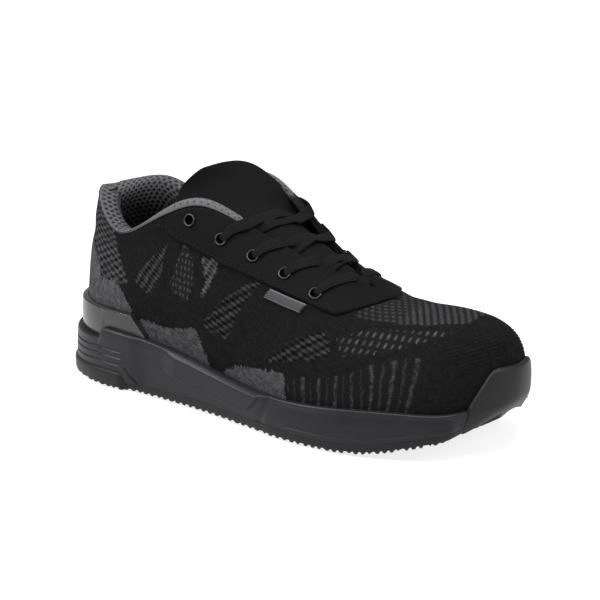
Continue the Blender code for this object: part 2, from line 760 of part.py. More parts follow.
def main():
    clear_scene()
    shoe = bpy.data.collections.new("safety_shoe")
    tools = bpy.data.collections.new("tools")
    bpy.context.scene.collection.children.link(shoe)
    bpy.context.scene.collection.children.link(tools)
    knit = material("knit", (0.012, 0.012, 0.013), 0.9)
    foam = material("foam", (0.045, 0.046, 0.05), 0.5)
    rubber = material("rubber", (0.03, 0.03, 0.032), 0.6)
    mesh = material("mesh", (0.12, 0.12, 0.125), 0.9)
    gloss = material("gloss", (0.1, 0.1, 0.105), 0.25)
    smooth = material("smooth", (0.014, 0.014, 0.015), 0.6)
    metal = material("metal", (0.2, 0.2, 0.21), 0.35, 1.0)
    cord = material("cord", (0.012, 0.012, 0.013), 0.85)
    woven = material("woven", (0.3, 0.3, 0.3), 0.8)

    shell(piece("upper", upper_mesh(), knit, shoe), UPPER_WALL, -1)
    shell(piece("eyestay", eyestay_mesh(), smooth, shoe), EYESTAY_THICK, 1)
    piece("midsole", midsole_mesh(), foam, shoe)
    outsole = piece("outsole", outsole_mesh(), rubber, shoe)
    combine(outsole, piece("tread_grooves", groove_mesh(), rubber, tools), "DIFFERENCE")
    piece("insole", insole_mesh(), mesh, shoe)
    piece("tongue", tongue_mesh(), knit, shoe)
    piece("heel_clip", heel_clip_mesh(), gloss, shoe)
    piece("collar_lining", lining_mesh(), mesh, shoe)
    piece("label_tab", tab_mesh(), woven, shoe)
    for number, (place, up) in enumerate(EYELETS, 1):
        for side, where in (("lateral", place), ("medial", LOOP - place)):
            name = f"eyelet_{side}_{number}"
            piece(name, eyelet_mesh(name, where, up), metal, shoe)
    for number, lower_side in ((1, 1), (2, -1), (3, 1)):
        name = f"lace_crossing_{number}"
        strands = []
        for side, label in ((-1, "lateral"), (1, "medial")):
            middle = 1.4 if side == lower_side else 1.0 + LACE_THICK
            strands.append(lace_strand(f"{name}_{label}", number, side, middle))
        made = piece(name, strands[0], cord, shoe)
        combine(made, piece(name + "_over", strands[1], cord, tools), "UNION")
    piece("lace_bar", lace_bar("lace_bar"), cord, shoe)


main()
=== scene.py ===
"""Looks of a knit safety trainer for the right foot, dressed over its solids.

The tables are in millimetres, in the solids' own frame: +X to the toe, -Y to the outer (lateral)
side, +Z up. A place runs round the shoe from the heel (0) along the outer side to the toe (12) and
back along the inner side (24). Up runs along the wall from the foot edge (0) to the rim (1).
"""

from collections import namedtuple

import bmesh
import bpy
import numpy as np
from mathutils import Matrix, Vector


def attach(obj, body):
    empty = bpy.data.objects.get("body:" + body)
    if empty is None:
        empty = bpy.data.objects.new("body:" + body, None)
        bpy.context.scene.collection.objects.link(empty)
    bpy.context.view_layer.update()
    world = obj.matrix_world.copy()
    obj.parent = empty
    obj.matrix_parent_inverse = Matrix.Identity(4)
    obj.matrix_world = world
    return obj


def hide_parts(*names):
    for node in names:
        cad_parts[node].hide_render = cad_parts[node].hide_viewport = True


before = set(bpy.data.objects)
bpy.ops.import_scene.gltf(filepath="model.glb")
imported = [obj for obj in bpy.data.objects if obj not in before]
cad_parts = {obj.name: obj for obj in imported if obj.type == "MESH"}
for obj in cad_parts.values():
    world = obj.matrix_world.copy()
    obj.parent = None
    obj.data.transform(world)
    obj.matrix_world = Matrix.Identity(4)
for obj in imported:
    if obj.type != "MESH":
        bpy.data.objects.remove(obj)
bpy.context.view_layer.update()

MM = 0.001
MIDDLE = np.array([-1.55, 1.1, 0.0])  # the origin, as the tables measure it
SIDEWAYS = np.array([0.0, 1.0, 0.0])
SKY = np.array([0.0, 0.0, 1.0])
TINY = 1e-3  # a step that finds a direction
GAP = 0.3  # between pieces that meet
UPPER_WALL = 2.0
INSOLE_THICK = 4.5
LIP_THICK = 2.6  # the midsole's top edge

# Sections through the last, from heel to toe
Last = namedtuple("Last", "foot_x lateral medial foot_z rim_x rim_mid rim_half rim_z rise")
LAST = {
    "heel_back": Last(-143.5, 0, 0, 26, -141.5, 0, 0, 106.5, 0),
    "heel_turn": Last(-132, 25, 24, 26, -134, 0, 12, 103, 5),
    "heel": Last(-107, 35.5, 34, 25.5, -111.5, 0, 25, 89.7, 21),
    "seat": Last(-77, 37, 34.5, 25, -88, 0, 30, 95, 8.5),
    "waist": Last(-44, 38.5, 32.5, 22.5, -63, 0, 30.5, 110, 2.5),
    "arch": Last(-14, 41.5, 33.5, 19.5, -40, 0.5, 27, 116, 6.5),
    "instep": Last(14, 45.5, 38.5, 17, -14, 1, 22, 107, 6.5),
    "ball_rear": Last(40, 48, 44.5, 15.5, 12, 1.5, 18, 96.5, -2.5),
    "ball": Last(65, 46.5, 49, 15, 36, 2, 13, 87, -5),
    "vamp": Last(88, 41, 50, 15.5, 58, 3, 0, 77.0, 0),
    "toe_side": Last(110, 32.5, 47, 18, 82, 4, 0, 73.4, 0),
    "toe_turn": Last(129, 19, 39.5, 22.5, 99, 5.5, 0, 73.6, 0),
    "toe_tip": Last(143.45, -9, 9, 28.5, 112, 6.5, 0, 73, 0),
}
TOE = len(LAST) - 1
LOOP = 2 * TOE
THROAT_END = list(LAST).index("vamp")

# Fullness of the wall at the same sections
Fullness = namedtuple("Fullness", "low_out low_up high_out high_up")
FULLNESS = {
    "heel_back": Fullness(2.3, 24, 3.6, -16),
    "heel_turn": Fullness(2, 24, 3.4, -14),
    "heel": Fullness(3, 20, 2.5, -16),
    "seat": Fullness(3, 21, 3, -17),
    "waist": Fullness(2.5, 28, 5, -24),
    "arch": Fullness(2.5, 32, 9, -22),
    "instep": Fullness(2, 33, 12, -16),
    "ball_rear": Fullness(2, 33, 15, -12),
    "ball": Fullness(2, 33, 20, -8),
    "vamp": Fullness(2.5, 33, 30, -2),
    "toe_side": Fullness(3, 31, 30, -0.5),
    "toe_turn": Fullness(4, 30, 33.5, 1.2),
    "toe_tip": Fullness(4.5, 29, 34, 2.5),
}

# The sole at the same sections: underside, joint of outsole and midsole, midsole's top edge
Sole = namedtuple("Sole", "under joint lip")
SOLE = {
    "heel_back": Sole(2.5, 4.5, 35),
    "heel_turn": Sole(1, 5, 35),
    "heel": Sole(0, 6, 35),
    "seat": Sole(0, 6, 34),
    "waist": Sole(0.2, 7, 30),
    "arch": Sole(0.2, 7, 25.5),
    "instep": Sole(0, 6.5, 22.5),
    "ball_rear": Sole(0, 6.5, 22.5),
    "ball": Sole(0, 6.5, 24),
    "vamp": Sole(2, 8.5, 25.5),
    "toe_side": Sole(7.5, 13.5, 26),
    "toe_turn": Sole(14.2, 19, 28),
    "toe_tip": Sole(23, 27.5, 34),
}
HEEL_BAND = (2.50, 2.72, 5.0)  # the joint is this much higher behind these places
HEEL_LEDGE = (1.93, 2.08, 7.0)  # and the top edge this much lower, under the clip
TOE_ROUND = (10.5, 11.4, 5.0, 11.0)  # the toe's lower edge: places, how far it draws in, over what height

# The midsole's side from the joint to the top edge: share of the height and reach outwards
Side = namedtuple("Side", "heel_share heel_reach panel_share panel_reach fore_share fore_reach")
SIDE = [
    Side(0.00, 7.6, 0.00, 5.6, 0.00, 6.2),
    Side(0.12, 7.7, 0.12, 5.7, 0.18, 6.2),
    Side(0.25, 7.7, 0.25, 5.8, 0.36, 5.9),
    Side(0.38, 7.6, 0.38, 5.9, 0.52, 5.5),
    Side(0.52, 7.5, 0.52, 5.9, 0.66, 5.0),
    Side(0.66, 7.4, 0.68, 5.8, 0.80, 4.4),
    Side(0.80, 7.2, 0.86, 5.4, 0.90, 3.8),
    Side(0.94, 6.9, 0.97, 4.8, 0.97, 3.4),
    Side(1.00, 6.2, 1.00, 3.8, 1.00, 3.0),
]
PANEL_START = (2.75, 3.15)  # where the heel's form turns to the panel's
FORE_START = (6.15, 6.45)  # and that to the forefoot's
RECESS = (10.75, 11.0)  # where the midsole draws in
BEHIND_BUMPER = (11.0, 11.3)
JOINT_GAP = 0.02

# The raised panel on each side: its lower edge as (place, height), and how far it stands out
PANEL_EDGE = [
    (3.50, 40), (3.56, 20.5), (3.66, 18.8), (3.85, 17), (4.28, 14.5), (4.95, 12.3), (5.62, 10.6),
    (5.75, 10.8), (5.86, 12.4), (6.05, 17.5), (6.14, 21), (6.2, 40),
]
PANEL_RISE = 1.2
PANEL_FROM = (3.5, 3.9)  # places over which it begins
PANEL_STEP = (-0.7, 0.5)  # heights over its edge in which it rises
PANEL_TOP = (0.88, 1.0)  # shares of the side in which it runs out
BEAD_RISE, BEAD_HALF = 0.4, 0.55  # along its edge

# Grooves in the midsole's side, from (place, height over the joint's line) to the same
Line = namedtuple("Line", "place_a rise_a place_b rise_b width depth")
SOLE_LINES = [
    Line(-2.55, 17.2, 2.55, 17.2, 0.9, 0.65),
    Line(-2.60, 13.5, 2.60, 13.5, 0.9, 0.65),
    Line(-2.52, 9.2, 2.52, 9.2, 0.9, 0.65),
    Line(2.66, 8.2, 2.95, 0.5, 0.9, 0.9),
    Line(-2.66, 8.2, -2.95, 0.5, 0.9, 0.9),
    Line(6.42, 14.0, 6.16, 0.0, 4.0, 0.5),
    Line(-6.42, 14.0, -6.16, 0.0, 4.0, 0.5),
]
# A fine edge along the forefoot: where it begins and ends, its height over the joint and its step
FORE_EDGE = {"begins": (6.7, 7.0), "ends": (10.0, 10.4), "height": 2.3, "step": 0.35}

# The outsole's reach: its own, more round the heel and along the forefoot, less towards the toe
OUTSOLE_REACH, HEEL_MORE, FORE_MORE = 5.7, 3.3, 0.8
TOE_LESS = [(10.3, 11.05, 3.6), (11.1, 11.6, 2.6)]

# Rings of the outsole: the edge by height, share of the tread's depth and inset; the side by share of
# the height and inset
EDGE_RINGS = [(0, 1, 4.2), (0.15, 1, 2.2), (0.6, 1, 1.2), (1.2, 0.9, 0.5), (2.2, 0.4, 0.1)]
SIDE_RINGS = [(0.45, 0.0), (0.7, 0.0), (0.84, 0.1), (0.94, 0.5), (1.0, 1.2), (1.0, 3.6)]
SIDE_LOW = 3.0
SIDE_INSET = (0.08, 0.92)  # share of the inset everywhere, and more of it round the heel

# Tread: the main grooves as first, last and pitch, and the finer slanting cuts between them
MAIN_GROOVES = [(-138, -66, 14.4), (6, 118, 14.0)]
MAIN_WIDTH, MAIN_DEPTH = 3.6, 2.6
CUT_PITCH, CUT_WIDTH, CUT_DEPTH, CUT_SLANT = 4.84, 2.3, 1.8, 0.78
EDGE_CUTS_END = (10.3, 10.9)  # places over which the cuts run out at the edge
TREAD_END = (122, 132)  # and from heel to toe underneath

# The toe bumper's edge as (place, height), and its thickness, less from one height to another
BUMPER = [(11.02, 20.5), (11.12, 31), (11.30, 40), (11.46, 47.5), (11.54, 50), (11.64, 51), (12, 51)]
BUMPER_THICK = 2.6
BUMPER_THINS = (26, 51, 0.4)
BUMPER_TURN = 11.7  # its columns are closer behind this place

CLIP_THICK = 3.0
CLIP_CROWN = (0.4, 18)  # how far it bulges, over what height
CLIP_END = (2.80, 3.10)  # its front end slants between these places
CLIP_TOP = 46.0

# The eyestay's lower and upper edges as (place, up)
EYESTAY_EDGE = [
    (3.60, 0.915), (3.95, 0.85), (4.30, 0.76), (5.00, 0.68), (5.50, 0.65), (6.50, 0.655),
    (7.60, 0.655), (8.05, 0.638), (8.26, 0.632), (8.54, 0.68), (8.82, 0.75), (9.15, 0.85), (9.48, 1.0),
]
EYESTAY_TOP = [
    (3.6, 0.94), (4.3, 0.962), (5.1, 0.968), (5.5, 0.972), (5.9, 0.978), (6.15, 1.0), (9.5, 1.0),
]
EYESTAY_GAP = 0.5
EYESTAY_THICK = 1.4
EYESTAY_FACE = EYESTAY_GAP + EYESTAY_THICK
EYESTAY_FRONT = (8.3, 9.1)  # places over which it thins and sinks towards its front
FRONT_THINS, FRONT_SINKS = 0.7, 0.35
SEAM = (2.2, 0.5, 0.22)  # the sewn line: distance from the edge, half width and depth
STITCH_PITCH, STITCH_LONG, STITCH_HALF = 3.3, 2.4, 0.36

EYELETS = [(4.68, 0.877), (5.50, 0.798), (6.27, 0.790), (7.06, 0.778), (7.82, 0.731)]
EYELET_OUTER = 3.8
EYELET_INNER = 2.5
EYELET_HEIGHT = 1.2

# The collar's lining: thickness of the pad, depth inside, height of the roll and lap over the outside
Lining = namedtuple("Lining", "place pad depth roll lap")
LINING = [
    Lining(0.0, 10.5, 44.0, 0.9, 0.1),
    Lining(1.0, 10.5, 42.0, 0.9, 0.1),
    Lining(2.0, 10.0, 40.0, 2.4, 0.1),
    Lining(2.6, 9.0, 40.0, 2.2, 0.2),
    Lining(3.2, 7.0, 42.0, 2.2, 0.6),
    Lining(4.1, 2.6, 44.0, 2.8, 2.6),
    Lining(4.9, 1.4, 40.0, 2.8, 2.4),
    Lining(5.3, 1.2, 30.0, 2.6, 2.4),
    Lining(5.8, 1.1, 20.0, 2.2, 2.4),
    Lining(6.1, 1.0, 14.0, 0.2, 0.3),
    Lining(6.3, 1.0, 12.0, 0.1, 0.2),
]
LINING_DARK = (5.85, 6.0)  # places over which its front ends turn dark
LINING_CLOTH = 75.0  # the cloth's length over the roll and down inside

TAB = {"places": (6.50, 7.40), "ups": (0.572, 0.640), "slant": 0.20, "thick": 1.4, "bulge": 0.5}

Tongue = namedtuple("Tongue", "x z half fall thick skew")
TONGUE = [
    Tongue(64, 70.5, 11, 0.028, 3.0, 0),
    Tongue(50, 77.5, 14, 0.032, 3.5, 0),
    Tongue(37, 86.0, 17.5, 0.032, 4.0, 0),
    Tongue(22, 93.5, 20.5, 0.025, 4.5, 0),
    Tongue(2, 102.0, 21, 0.0205, 5.0, 1),
    Tongue(-15, 110.5, 21, 0.0185, 5.5, 6),
    Tongue(-26, 119.5, 21, 0.0195, 6.0, 13),
    Tongue(-34.5, 128.0, 24, 0.0185, 6.0, 16),
    Tongue(-41.5, 136.0, 31, 0.0155, 5.0, 12),
]
# How far its top edge falls towards each side as a share of its length, from where across, how curved
TONGUE_FALL = [(-1, 0.18, 0.42, 1.3), (1, 0.17, -0.3, 2.2)]
TONGUE_WIDER = 0.25  # how much wider its outer half is at the top
TONGUE_MIDDLE = 0.5
TONGUE_CLOTH = (21, 150)

LACE_WIDTH = 7.0
LACE_THICK = 1.3
LACE_FORWARD = {-1: (0, 11, 11, 11, 8), 1: (0, 20, 16, 13, 8)}  # from eyelet to throat's edge, by side
LACE_BENEATH = UPPER_WALL + 1.4  # how deep it lies behind the upper
CROSSINGS = [(1, 1), (2, -1), (3, 1)]  # the eyelet it starts from, and the side of the lower strand

# Zones of the knit, each an outline of (place, up) points on the outer side, repeated on the inner.
# kind: its pattern. ground and mark: how grey the yarn is between the pattern's marks and in them.
Knit = namedtuple("Knit", "kind ground mark outline")
KNIT = {
    "heel_net": Knit("net", 0.24, 0.52, [
        (-1, 1.1), (1.95, 1.1), (2.21, 0.835), (2.51, 0.66), (2.65, 0.55), (2.2, 0.52), (1.69, 0.478),
        (-1, 0.46)]),
    "heel_grey": Knit("grey", 0.60, 0, [
        (-1, 0.62), (1.31, 0.60), (1.62, 0.56), (1.66, 0.48), (2.21, 0.552), (2.42, 0.49), (2.73, 0.33),
        (2.60, 0.20), (-1, 0.20)]),
    "leaf_rear": Knit("leaf", 0.12, 0.36, [
        (2.88, 0.598), (3.70, 0.745), (3.92, 0.775), (3.70, 0.623), (3.29, 0.45), (2.94, 0.532)]),
    "leaf_middle": Knit("marks", 0.05, 0.46, [
        (3.79, 0.505), (4.30, 0.70), (4.46, 0.74), (4.63, 0.65), (4.52, 0.527), (4.23, 0.41), (3.96, 0.453)]),
    "leaf_front": Knit("leaf", 0.42, 0.62, [
        (4.61, 0.43), (4.90, 0.53), (4.89, 0.66), (5.36, 0.665), (5.24, 0.595), (4.93, 0.497)]),
    "net_band": Knit("net", 0.06, 0.28, [
        (4.55, 0.307), (5.50, 0.497), (6.24, 0.64), (6.42, 0.64), (5.71, 0.43), (5.20, 0.255),
        (4.74, 0.278)]),
    "waist_grey": Knit("grey", 0.46, 0, [
        (2.90, 0.28), (3.10, 0.265), (3.50, 0.235), (4.00, 0.245), (4.32, 0.275), (4.62, 0.05),
        (2.90, 0.05)]),
    "arch_grey": Knit("grey", 0.52, 0, [
        (4.97, 0.07), (5.35, 0.135), (5.62, 0.155), (6.77, 0.203), (6.75, 0.03), (5.0, 0.03)]),
    "net_ball": Knit("net", 0.06, 0.28, [
        (6.31, 0.23), (7.10, 0.39), (7.95, 0.51), (8.10, 0.427), (7.98, 0.36)]),
    "stripes": Knit("stripe", 0.06, 0.3, [
        (8.70, 0.685), (9.6, 1.01), (12.1, 1.01), (12.1, 0.92), (11.8, 0.86), (11.4, 0.775), (9.82, 0.713),
        (8.89, 0.67)]),
    "toe_dashes": Knit("dash", 0.03, 0.5, [
        (8.26, 0.49), (9.23, 0.633), (10.16, 0.668), (11.28, 0.70), (10.0, 0.547), (9.07, 0.438),
        (8.34, 0.388)]),
    "strokes": Knit("stroke", 0.02, 0.36, [
        (6.86, 0.19), (7.6, 0.225), (8.4, 0.29), (9.3, 0.40), (10.13, 0.47), (10.25, 0.40), (9.81, 0.03),
        (6.82, 0.03)]),
}
KNIT_BLACK, KNIT_GREY, KNIT_SHADOW = 0.0066, 0.105, 0.001
WALE, COURSE = 1.25, 1.0  # a stitch's width and height

# The patterns' repeats, along the cloth and up it, and the dashes' half width, half length and lean
NET = (8.4, 3.9)
LEAF = (5.7, 4.1)
MARKS = ((2.9, 4.0), 0.9, 1.3, -0.45)
DASHES = ((4.75, 4.0), 1.15, 1.35, -0.85)

# Stripes, dashes and strokes are set out along the shoe and across it, so that they stand upright as
# seen from the outer front: SIGHT is the share of a step across that counts
SIGHT = 0.78
STRIPE_PITCH, DOT_PITCH = 4.6, 3.4
STRIPES_SOLID = (82.0, 92.0)  # behind this a stripe is a row of dots
STROKE_PITCH = 5.55  # wide and narrow strokes by turns

# Fine ridges over the toe: outline, pitch and height
TOE_RIDGES = [(10.6, 0.56), (11.5, 0.62), (11.9, 0.50), (11.7, 0.36), (11.1, 0.32)]
TOE_RIDGE = (2.4, 0.22)

# Soft troughs of the wall: from (place, up) to (place, up), half width and depth
Crease = namedtuple("Crease", "place_a up_a place_b up_b width depth")
CREASES = [
    Crease(8.35, 0.60, 8.75, 0.25, 7.0, 0.7),
    Crease(9.55, 0.97, 8.90, 0.70, 6.0, 0.8),
    Crease(2.0, 0.74, 3.4, 0.80, 6.0, 0.8),
    Crease(0.0, 0.70, 1.6, 0.72, 6.0, 0.9),
    Crease(3.6, 0.60, 4.2, 0.36, 8.0, 0.7),
    Crease(5.4, 0.60, 5.9, 0.30, 9.0, 0.6),
    Crease(10.6, 0.62, 11.6, 0.60, 8.0, 0.4),
]
SIDE_LENGTH = 300  # of the wall from heel to toe, as the creases measure it

# Mesh density
HALF_COLUMNS = 408
WALL_ROWS, HIDDEN_ROWS, HIDDEN_UP = 106, 3, 0.04
SOLE_COLUMNS, MIDSOLE_RINGS = 400, 92
LINING_COLUMNS, LINING_ROWS = 216, 104


# Curves and the wall


def hermite(values, slopes, low, high, t):
    """A smooth curve from one value to another by their slopes."""
    start = (1 + 2 * t) * (1 - t) ** 2 * values[low] + t * (1 - t) ** 2 * slopes[low]
    end = t**2 * (3 - 2 * t) * values[high] + t**2 * (t - 1) * slopes[high]
    return start + end


def loop_spline(values):
    """A smooth closed curve through values at 0, 1, 2..., as a function of the place along it."""
    values = np.asarray(values, float)
    count = len(values)
    system = 4 * np.eye(count) + np.roll(np.eye(count), 1, 0) + np.roll(np.eye(count), -1, 0)
    slopes = np.linalg.solve(system, 3 * (np.roll(values, -1) - np.roll(values, 1)))

    def at(place):
        place = np.mod(np.asarray(place, float), count)
        low = np.floor(place).astype(int) % count
        return hermite(values, slopes, low, (low + 1) % count, place - np.floor(place))

    return at


def open_spline(values):
    """A smooth open curve through values at 0, 1, 2..., as a function of the place along it."""
    values = np.asarray(values, float)
    slopes = np.gradient(values)

    def at(place):
        place = np.asarray(place, float)
        low = np.clip(np.floor(place).astype(int), 0, len(values) - 2)
        return hermite(values, slopes, low, low + 1, place - low)

    return at


def column_curves(rows):
    """Each column of a table as a smooth curve over its rows."""
    return {name: open_spline([getattr(row, name) for row in rows]) for name in rows[0]._fields}


def around(table, column, other=None, sign=1):
    """A column as a curve round the shoe, with another column for the inner side where there is one."""
    outer = [sign * getattr(row, column) for row in table.values()]
    inner = [getattr(row, other or column) for row in table.values()]
    return loop_spline(outer + inner[-2:0:-1])


FOOT_Y = around(LAST, "lateral", "medial", sign=-1)
FOOT_X, FOOT_Z, RIM_X, RIM_MID, RIM_HALF, RIM_Z, RISE = (
    around(LAST, name) for name in ("foot_x", "foot_z", "rim_x", "rim_mid", "rim_half", "rim_z", "rise"))
LOW_OUT, LOW_UP, HIGH_OUT, HIGH_UP = (around(FULLNESS, name) for name in Fullness._fields)
UNDER, JOINT, LIP = (around(SOLE, name) for name in Sole._fields)
TONGUE_CURVE = column_curves(TONGUE)
SIDE_CURVE = column_curves(SIDE)


def unit(vectors):
    return vectors / np.maximum(np.linalg.norm(vectors, axis=-1, keepdims=True), 1e-9)


def mix(start, end, share):
    return start + share * (end - start)


def step_between(value, start, end):
    """0 before start, 1 after end, smooth between."""
    t = np.clip((np.asarray(value, float) - start) / (end - start), 0, 1)
    return t * t * (3 - 2 * t)


def table_at(rows, value):
    rows = np.array(rows)
    return np.interp(value, rows[:, 0], rows[:, 1])


def running(line):
    """The length along a line at each of its points."""
    return np.concatenate([[0], np.cumsum(np.linalg.norm(np.diff(line, axis=0), axis=1))])


def run_share(line):
    run = running(line)
    return run / run[-1]


def from_line(run, rise, start, end):
    """How far along a straight line points lie, held to its ends, and how far away from it."""
    start = np.array(start)
    line = np.array(end) - start
    share = np.clip(((run - start[0]) * line[0] + (rise - start[1]) * line[1]) / line.dot(line), 0, 1)
    return share, np.hypot(run - start[0] - share * line[0], rise - start[1] - share * line[1])


def outward(place):
    """Level direction out of the shoe at a place round its foot edge."""
    run_x = FOOT_X(place + TINY) - FOOT_X(place - TINY)
    run_y = FOOT_Y(place + TINY) - FOOT_Y(place - TINY)
    return unit(np.stack([run_y, -run_x, np.zeros_like(run_x)], -1))


def foot(place):
    return np.stack([FOOT_X(place), FOOT_Y(place), FOOT_Z(place)], -1)


def over_toes(place, margin=0.0):
    """True where the rim is the closed ridge over the toes."""
    return np.abs(np.mod(place, LOOP) - TOE) <= TOE - THROAT_END + margin


def rim(place):
    place = np.asarray(place, float)
    half = np.where(over_toes(place), 0, np.maximum(RIM_HALF(place), 0))
    medial = np.mod(place, LOOP) > TOE
    side = np.where(medial, 1.0, -1.0)
    rise = np.where(medial, RISE(place) * np.clip(half / 10, 0, 1), 0)
    return np.stack([RIM_X(place), RIM_MID(place) + side * half, RIM_Z(place) + rise], -1)


def wall(place, up):
    """A point of the upper's outer face."""
    place, up = np.broadcast_arrays(np.asarray(place, float), np.asarray(up, float))
    start, end, out = foot(place), rim(place), outward(place)
    low = start + out * LOW_OUT(place)[..., None] + SKY * LOW_UP(place)[..., None]
    high = end + out * HIGH_OUT(place)[..., None] + SKY * HIGH_UP(place)[..., None]
    t = up[..., None]
    return (1 - t) ** 3 * start + 3 * t * (1 - t) ** 2 * low + 3 * t**2 * (1 - t) * high + t**3 * end


def wall_out(place, up):
    """The outer face's normal."""
    place, up = np.asarray(place), np.asarray(up)
    along = wall(place + TINY, up) - wall(place - TINY, up)
    rising = wall(place, np.clip(up + TINY, 0, 1)) - wall(place, np.clip(up - TINY, 0, 1))
    return unit(np.cross(along, rising))


def ridge_out(place, up):
    """The outer face's normal, the same from both sides along the closed ridge over the toes."""
    normal = wall_out(place, up)
    place, up = np.broadcast_arrays(np.asarray(place, float), np.asarray(up, float))
    ridge = (up > 1 - 1e-6) & over_toes(place, 1e-6)
    shared = unit(normal + wall_out(LOOP - place, up))
    return np.where(ridge[..., None], shared, normal)


def wall_length(place):
    line = wall(np.asarray(place, float)[..., None], np.linspace(0, 1, 40))
    return np.linalg.norm(np.diff(line, axis=-2), axis=-1).sum(-1)


def up_at_height(places, heights):
    """How far up the wall it reaches heights above the floor."""
    steps = np.linspace(0, 1, 80)
    rows = wall(places[:, None], steps)[..., 2]
    return np.array([np.interp(height, row, steps) for height, row in zip(heights, rows)])


def from_heel(place):
    """Places on the inner side as the matching place on the outer side."""
    place = np.mod(place, LOOP)
    return np.minimum(place, LOOP - place)


def half_places(count, end=TOE, up=0.4):
    """Places along the outer side, evenly spaced along the wall."""
    fine = np.linspace(0, end, 2000)
    return np.interp(np.linspace(0, 1, count), run_share(wall(fine, up)), fine)


def both_sides(half):
    """Places from the front along the inner side to the heel and on along the outer side."""
    return np.concatenate([-half[:0:-1], half])


# Meshes


def cloth_at(across, along):
    """Where points lie on their own cloth, in millimetres."""
    return np.stack(np.broadcast_arrays(across, along, 0.0), -1)


class Shape:
    """Collects grids of points in millimetres, with named values at the points, as one mesh."""

    def __init__(self):
        self.points, self.faces, self.values = [], [], []
        self.count = 0

    def grid(self, points, values=None, closed_rows=False, closed_columns=False):
        rows, columns = points.shape[:2]
        index = self.count + np.arange(rows * columns).reshape(rows, columns)
        self.count += rows * columns
        self.points.append(points.reshape(-1, 3))
        flat = {}
        for name, value in (values or {}).items():
            flat[name] = np.broadcast_to(value, (rows, columns) + np.shape(value)[2:])
        self.values.append((rows * columns, flat))
        i = np.arange(rows if closed_rows else rows - 1)
        j = np.arange(columns if closed_columns else columns - 1)
        near, far = index[i], index[(i + 1) % rows]
        right = (j + 1) % columns
        quads = np.stack([near[:, j], near[:, right], far[:, right], far[:, j]], -1)
        self.faces.extend(quads.reshape(-1, 4).tolist())
        return index

    def tube(self, rings, values=None):
        """A row of closed rings with both ends capped."""
        index = self.grid(rings, values, closed_columns=True)
        self.faces.extend([index[0].tolist(), index[-1].tolist()])

    def zip(self, row, other, closed=False):
        """Joins two rows of points of different lengths with triangles."""
        row, other = list(row), list(other)
        if closed:
            row, other = row + row[:1], other + other[:1]
        i = j = 0
        while i < len(row) - 1 or j < len(other) - 1:
            ahead = (i + 1) * (len(other) - 1) <= (j + 1) * (len(row) - 1)
            if j == len(other) - 1 or (ahead and i < len(row) - 1):
                self.faces.append([row[i], row[i + 1], other[j]])
                i += 1
            else:
                self.faces.append([row[i], other[j + 1], other[j]])
                j += 1

    def mesh(self, name, sharp=50):
        points = np.concatenate(self.points)
        keys = np.round(points / 1e-3).astype(np.int64)
        _, first, inverse = np.unique(keys, axis=0, return_index=True, return_inverse=True)
        inverse = inverse.reshape(-1)
        faces = []
        for face in self.faces:
            welded = list(dict.fromkeys(int(inverse[k]) for k in face))
            if len(welded) > 2:
                faces.append(welded)
        mesh = bpy.data.meshes.new(name)
        mesh.from_pydata(((points[first] - MIDDLE) * MM).tolist(), [], faces)
        self.store(mesh, first)
        shape = bmesh.new()
        shape.from_mesh(mesh)
        bmesh.ops.recalc_face_normals(shape, faces=shape.faces)
        shape.to_mesh(mesh)
        shape.free()
        mesh.shade_smooth()
        mesh.set_sharp_from_angle(angle=np.radians(sharp))
        return mesh

    def store(self, mesh, first):
        """Keeps the named values as attributes of the mesh, and nothing where a grid has none."""
        for name in sorted({name for _, flat in self.values for name in flat}):
            wide = max(flat[name].ndim for _, flat in self.values if name in flat) == 3
            columns = []
            for count, flat in self.values:
                blank = np.zeros((count, 3)) if wide else np.zeros(count)
                columns.append(flat[name].reshape(blank.shape) if name in flat else blank)
            values = np.concatenate(columns)[first]
            kind, field = ("FLOAT_VECTOR", "vector") if wide else ("FLOAT", "value")
            layer = mesh.attributes.new(name, kind, "POINT")
            layer.data.foreach_set(field, values.astype(np.float32).ravel())


def piece(name, mesh, material, slot, *nodes):
    """One visible piece of the shoe, in place of the solids that it names."""
    mesh.materials.append(material)
    made = bpy.data.objects.new(name, mesh)
    bpy.context.scene.collection.objects.link(made)
    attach(made, "root")
    if nodes:
        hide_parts(*nodes)
    return made


# Materials

COAT_ROUGHNESS = 0.15


def step_of(operation, swapped=False):
    """An operator of Value, as a Math node."""

    def apply(value, other):
        pair = (other, value) if swapped else (value, other)
        return value.look.math(operation, *pair)

    return apply


class Value:
    """A node's output that takes plain arithmetic with numbers and other values."""

    def __init__(self, look, socket):
        self.look, self.socket = look, socket

    __add__ = __radd__ = step_of("ADD")
    __mul__ = __rmul__ = step_of("MULTIPLY")
    __sub__ = step_of("SUBTRACT")
    __rsub__ = step_of("SUBTRACT", swapped=True)
    __truediv__ = step_of("DIVIDE")
    __pow__ = step_of("POWER")

    def by(self, operation):
        return self.look.math(operation, self)

    def __abs__(self):
        return self.by("ABSOLUTE")

    def clamp(self):
        """Held between 0 and 1."""
        return self.look.math("MINIMUM", self.look.math("MAXIMUM", self, 0.0), 1.0)

    def wave(self, period):
        """From 0 to 1 and back over each period."""
        return (self * (2 * np.pi / period)).by("SINE") * 0.5 + 0.5


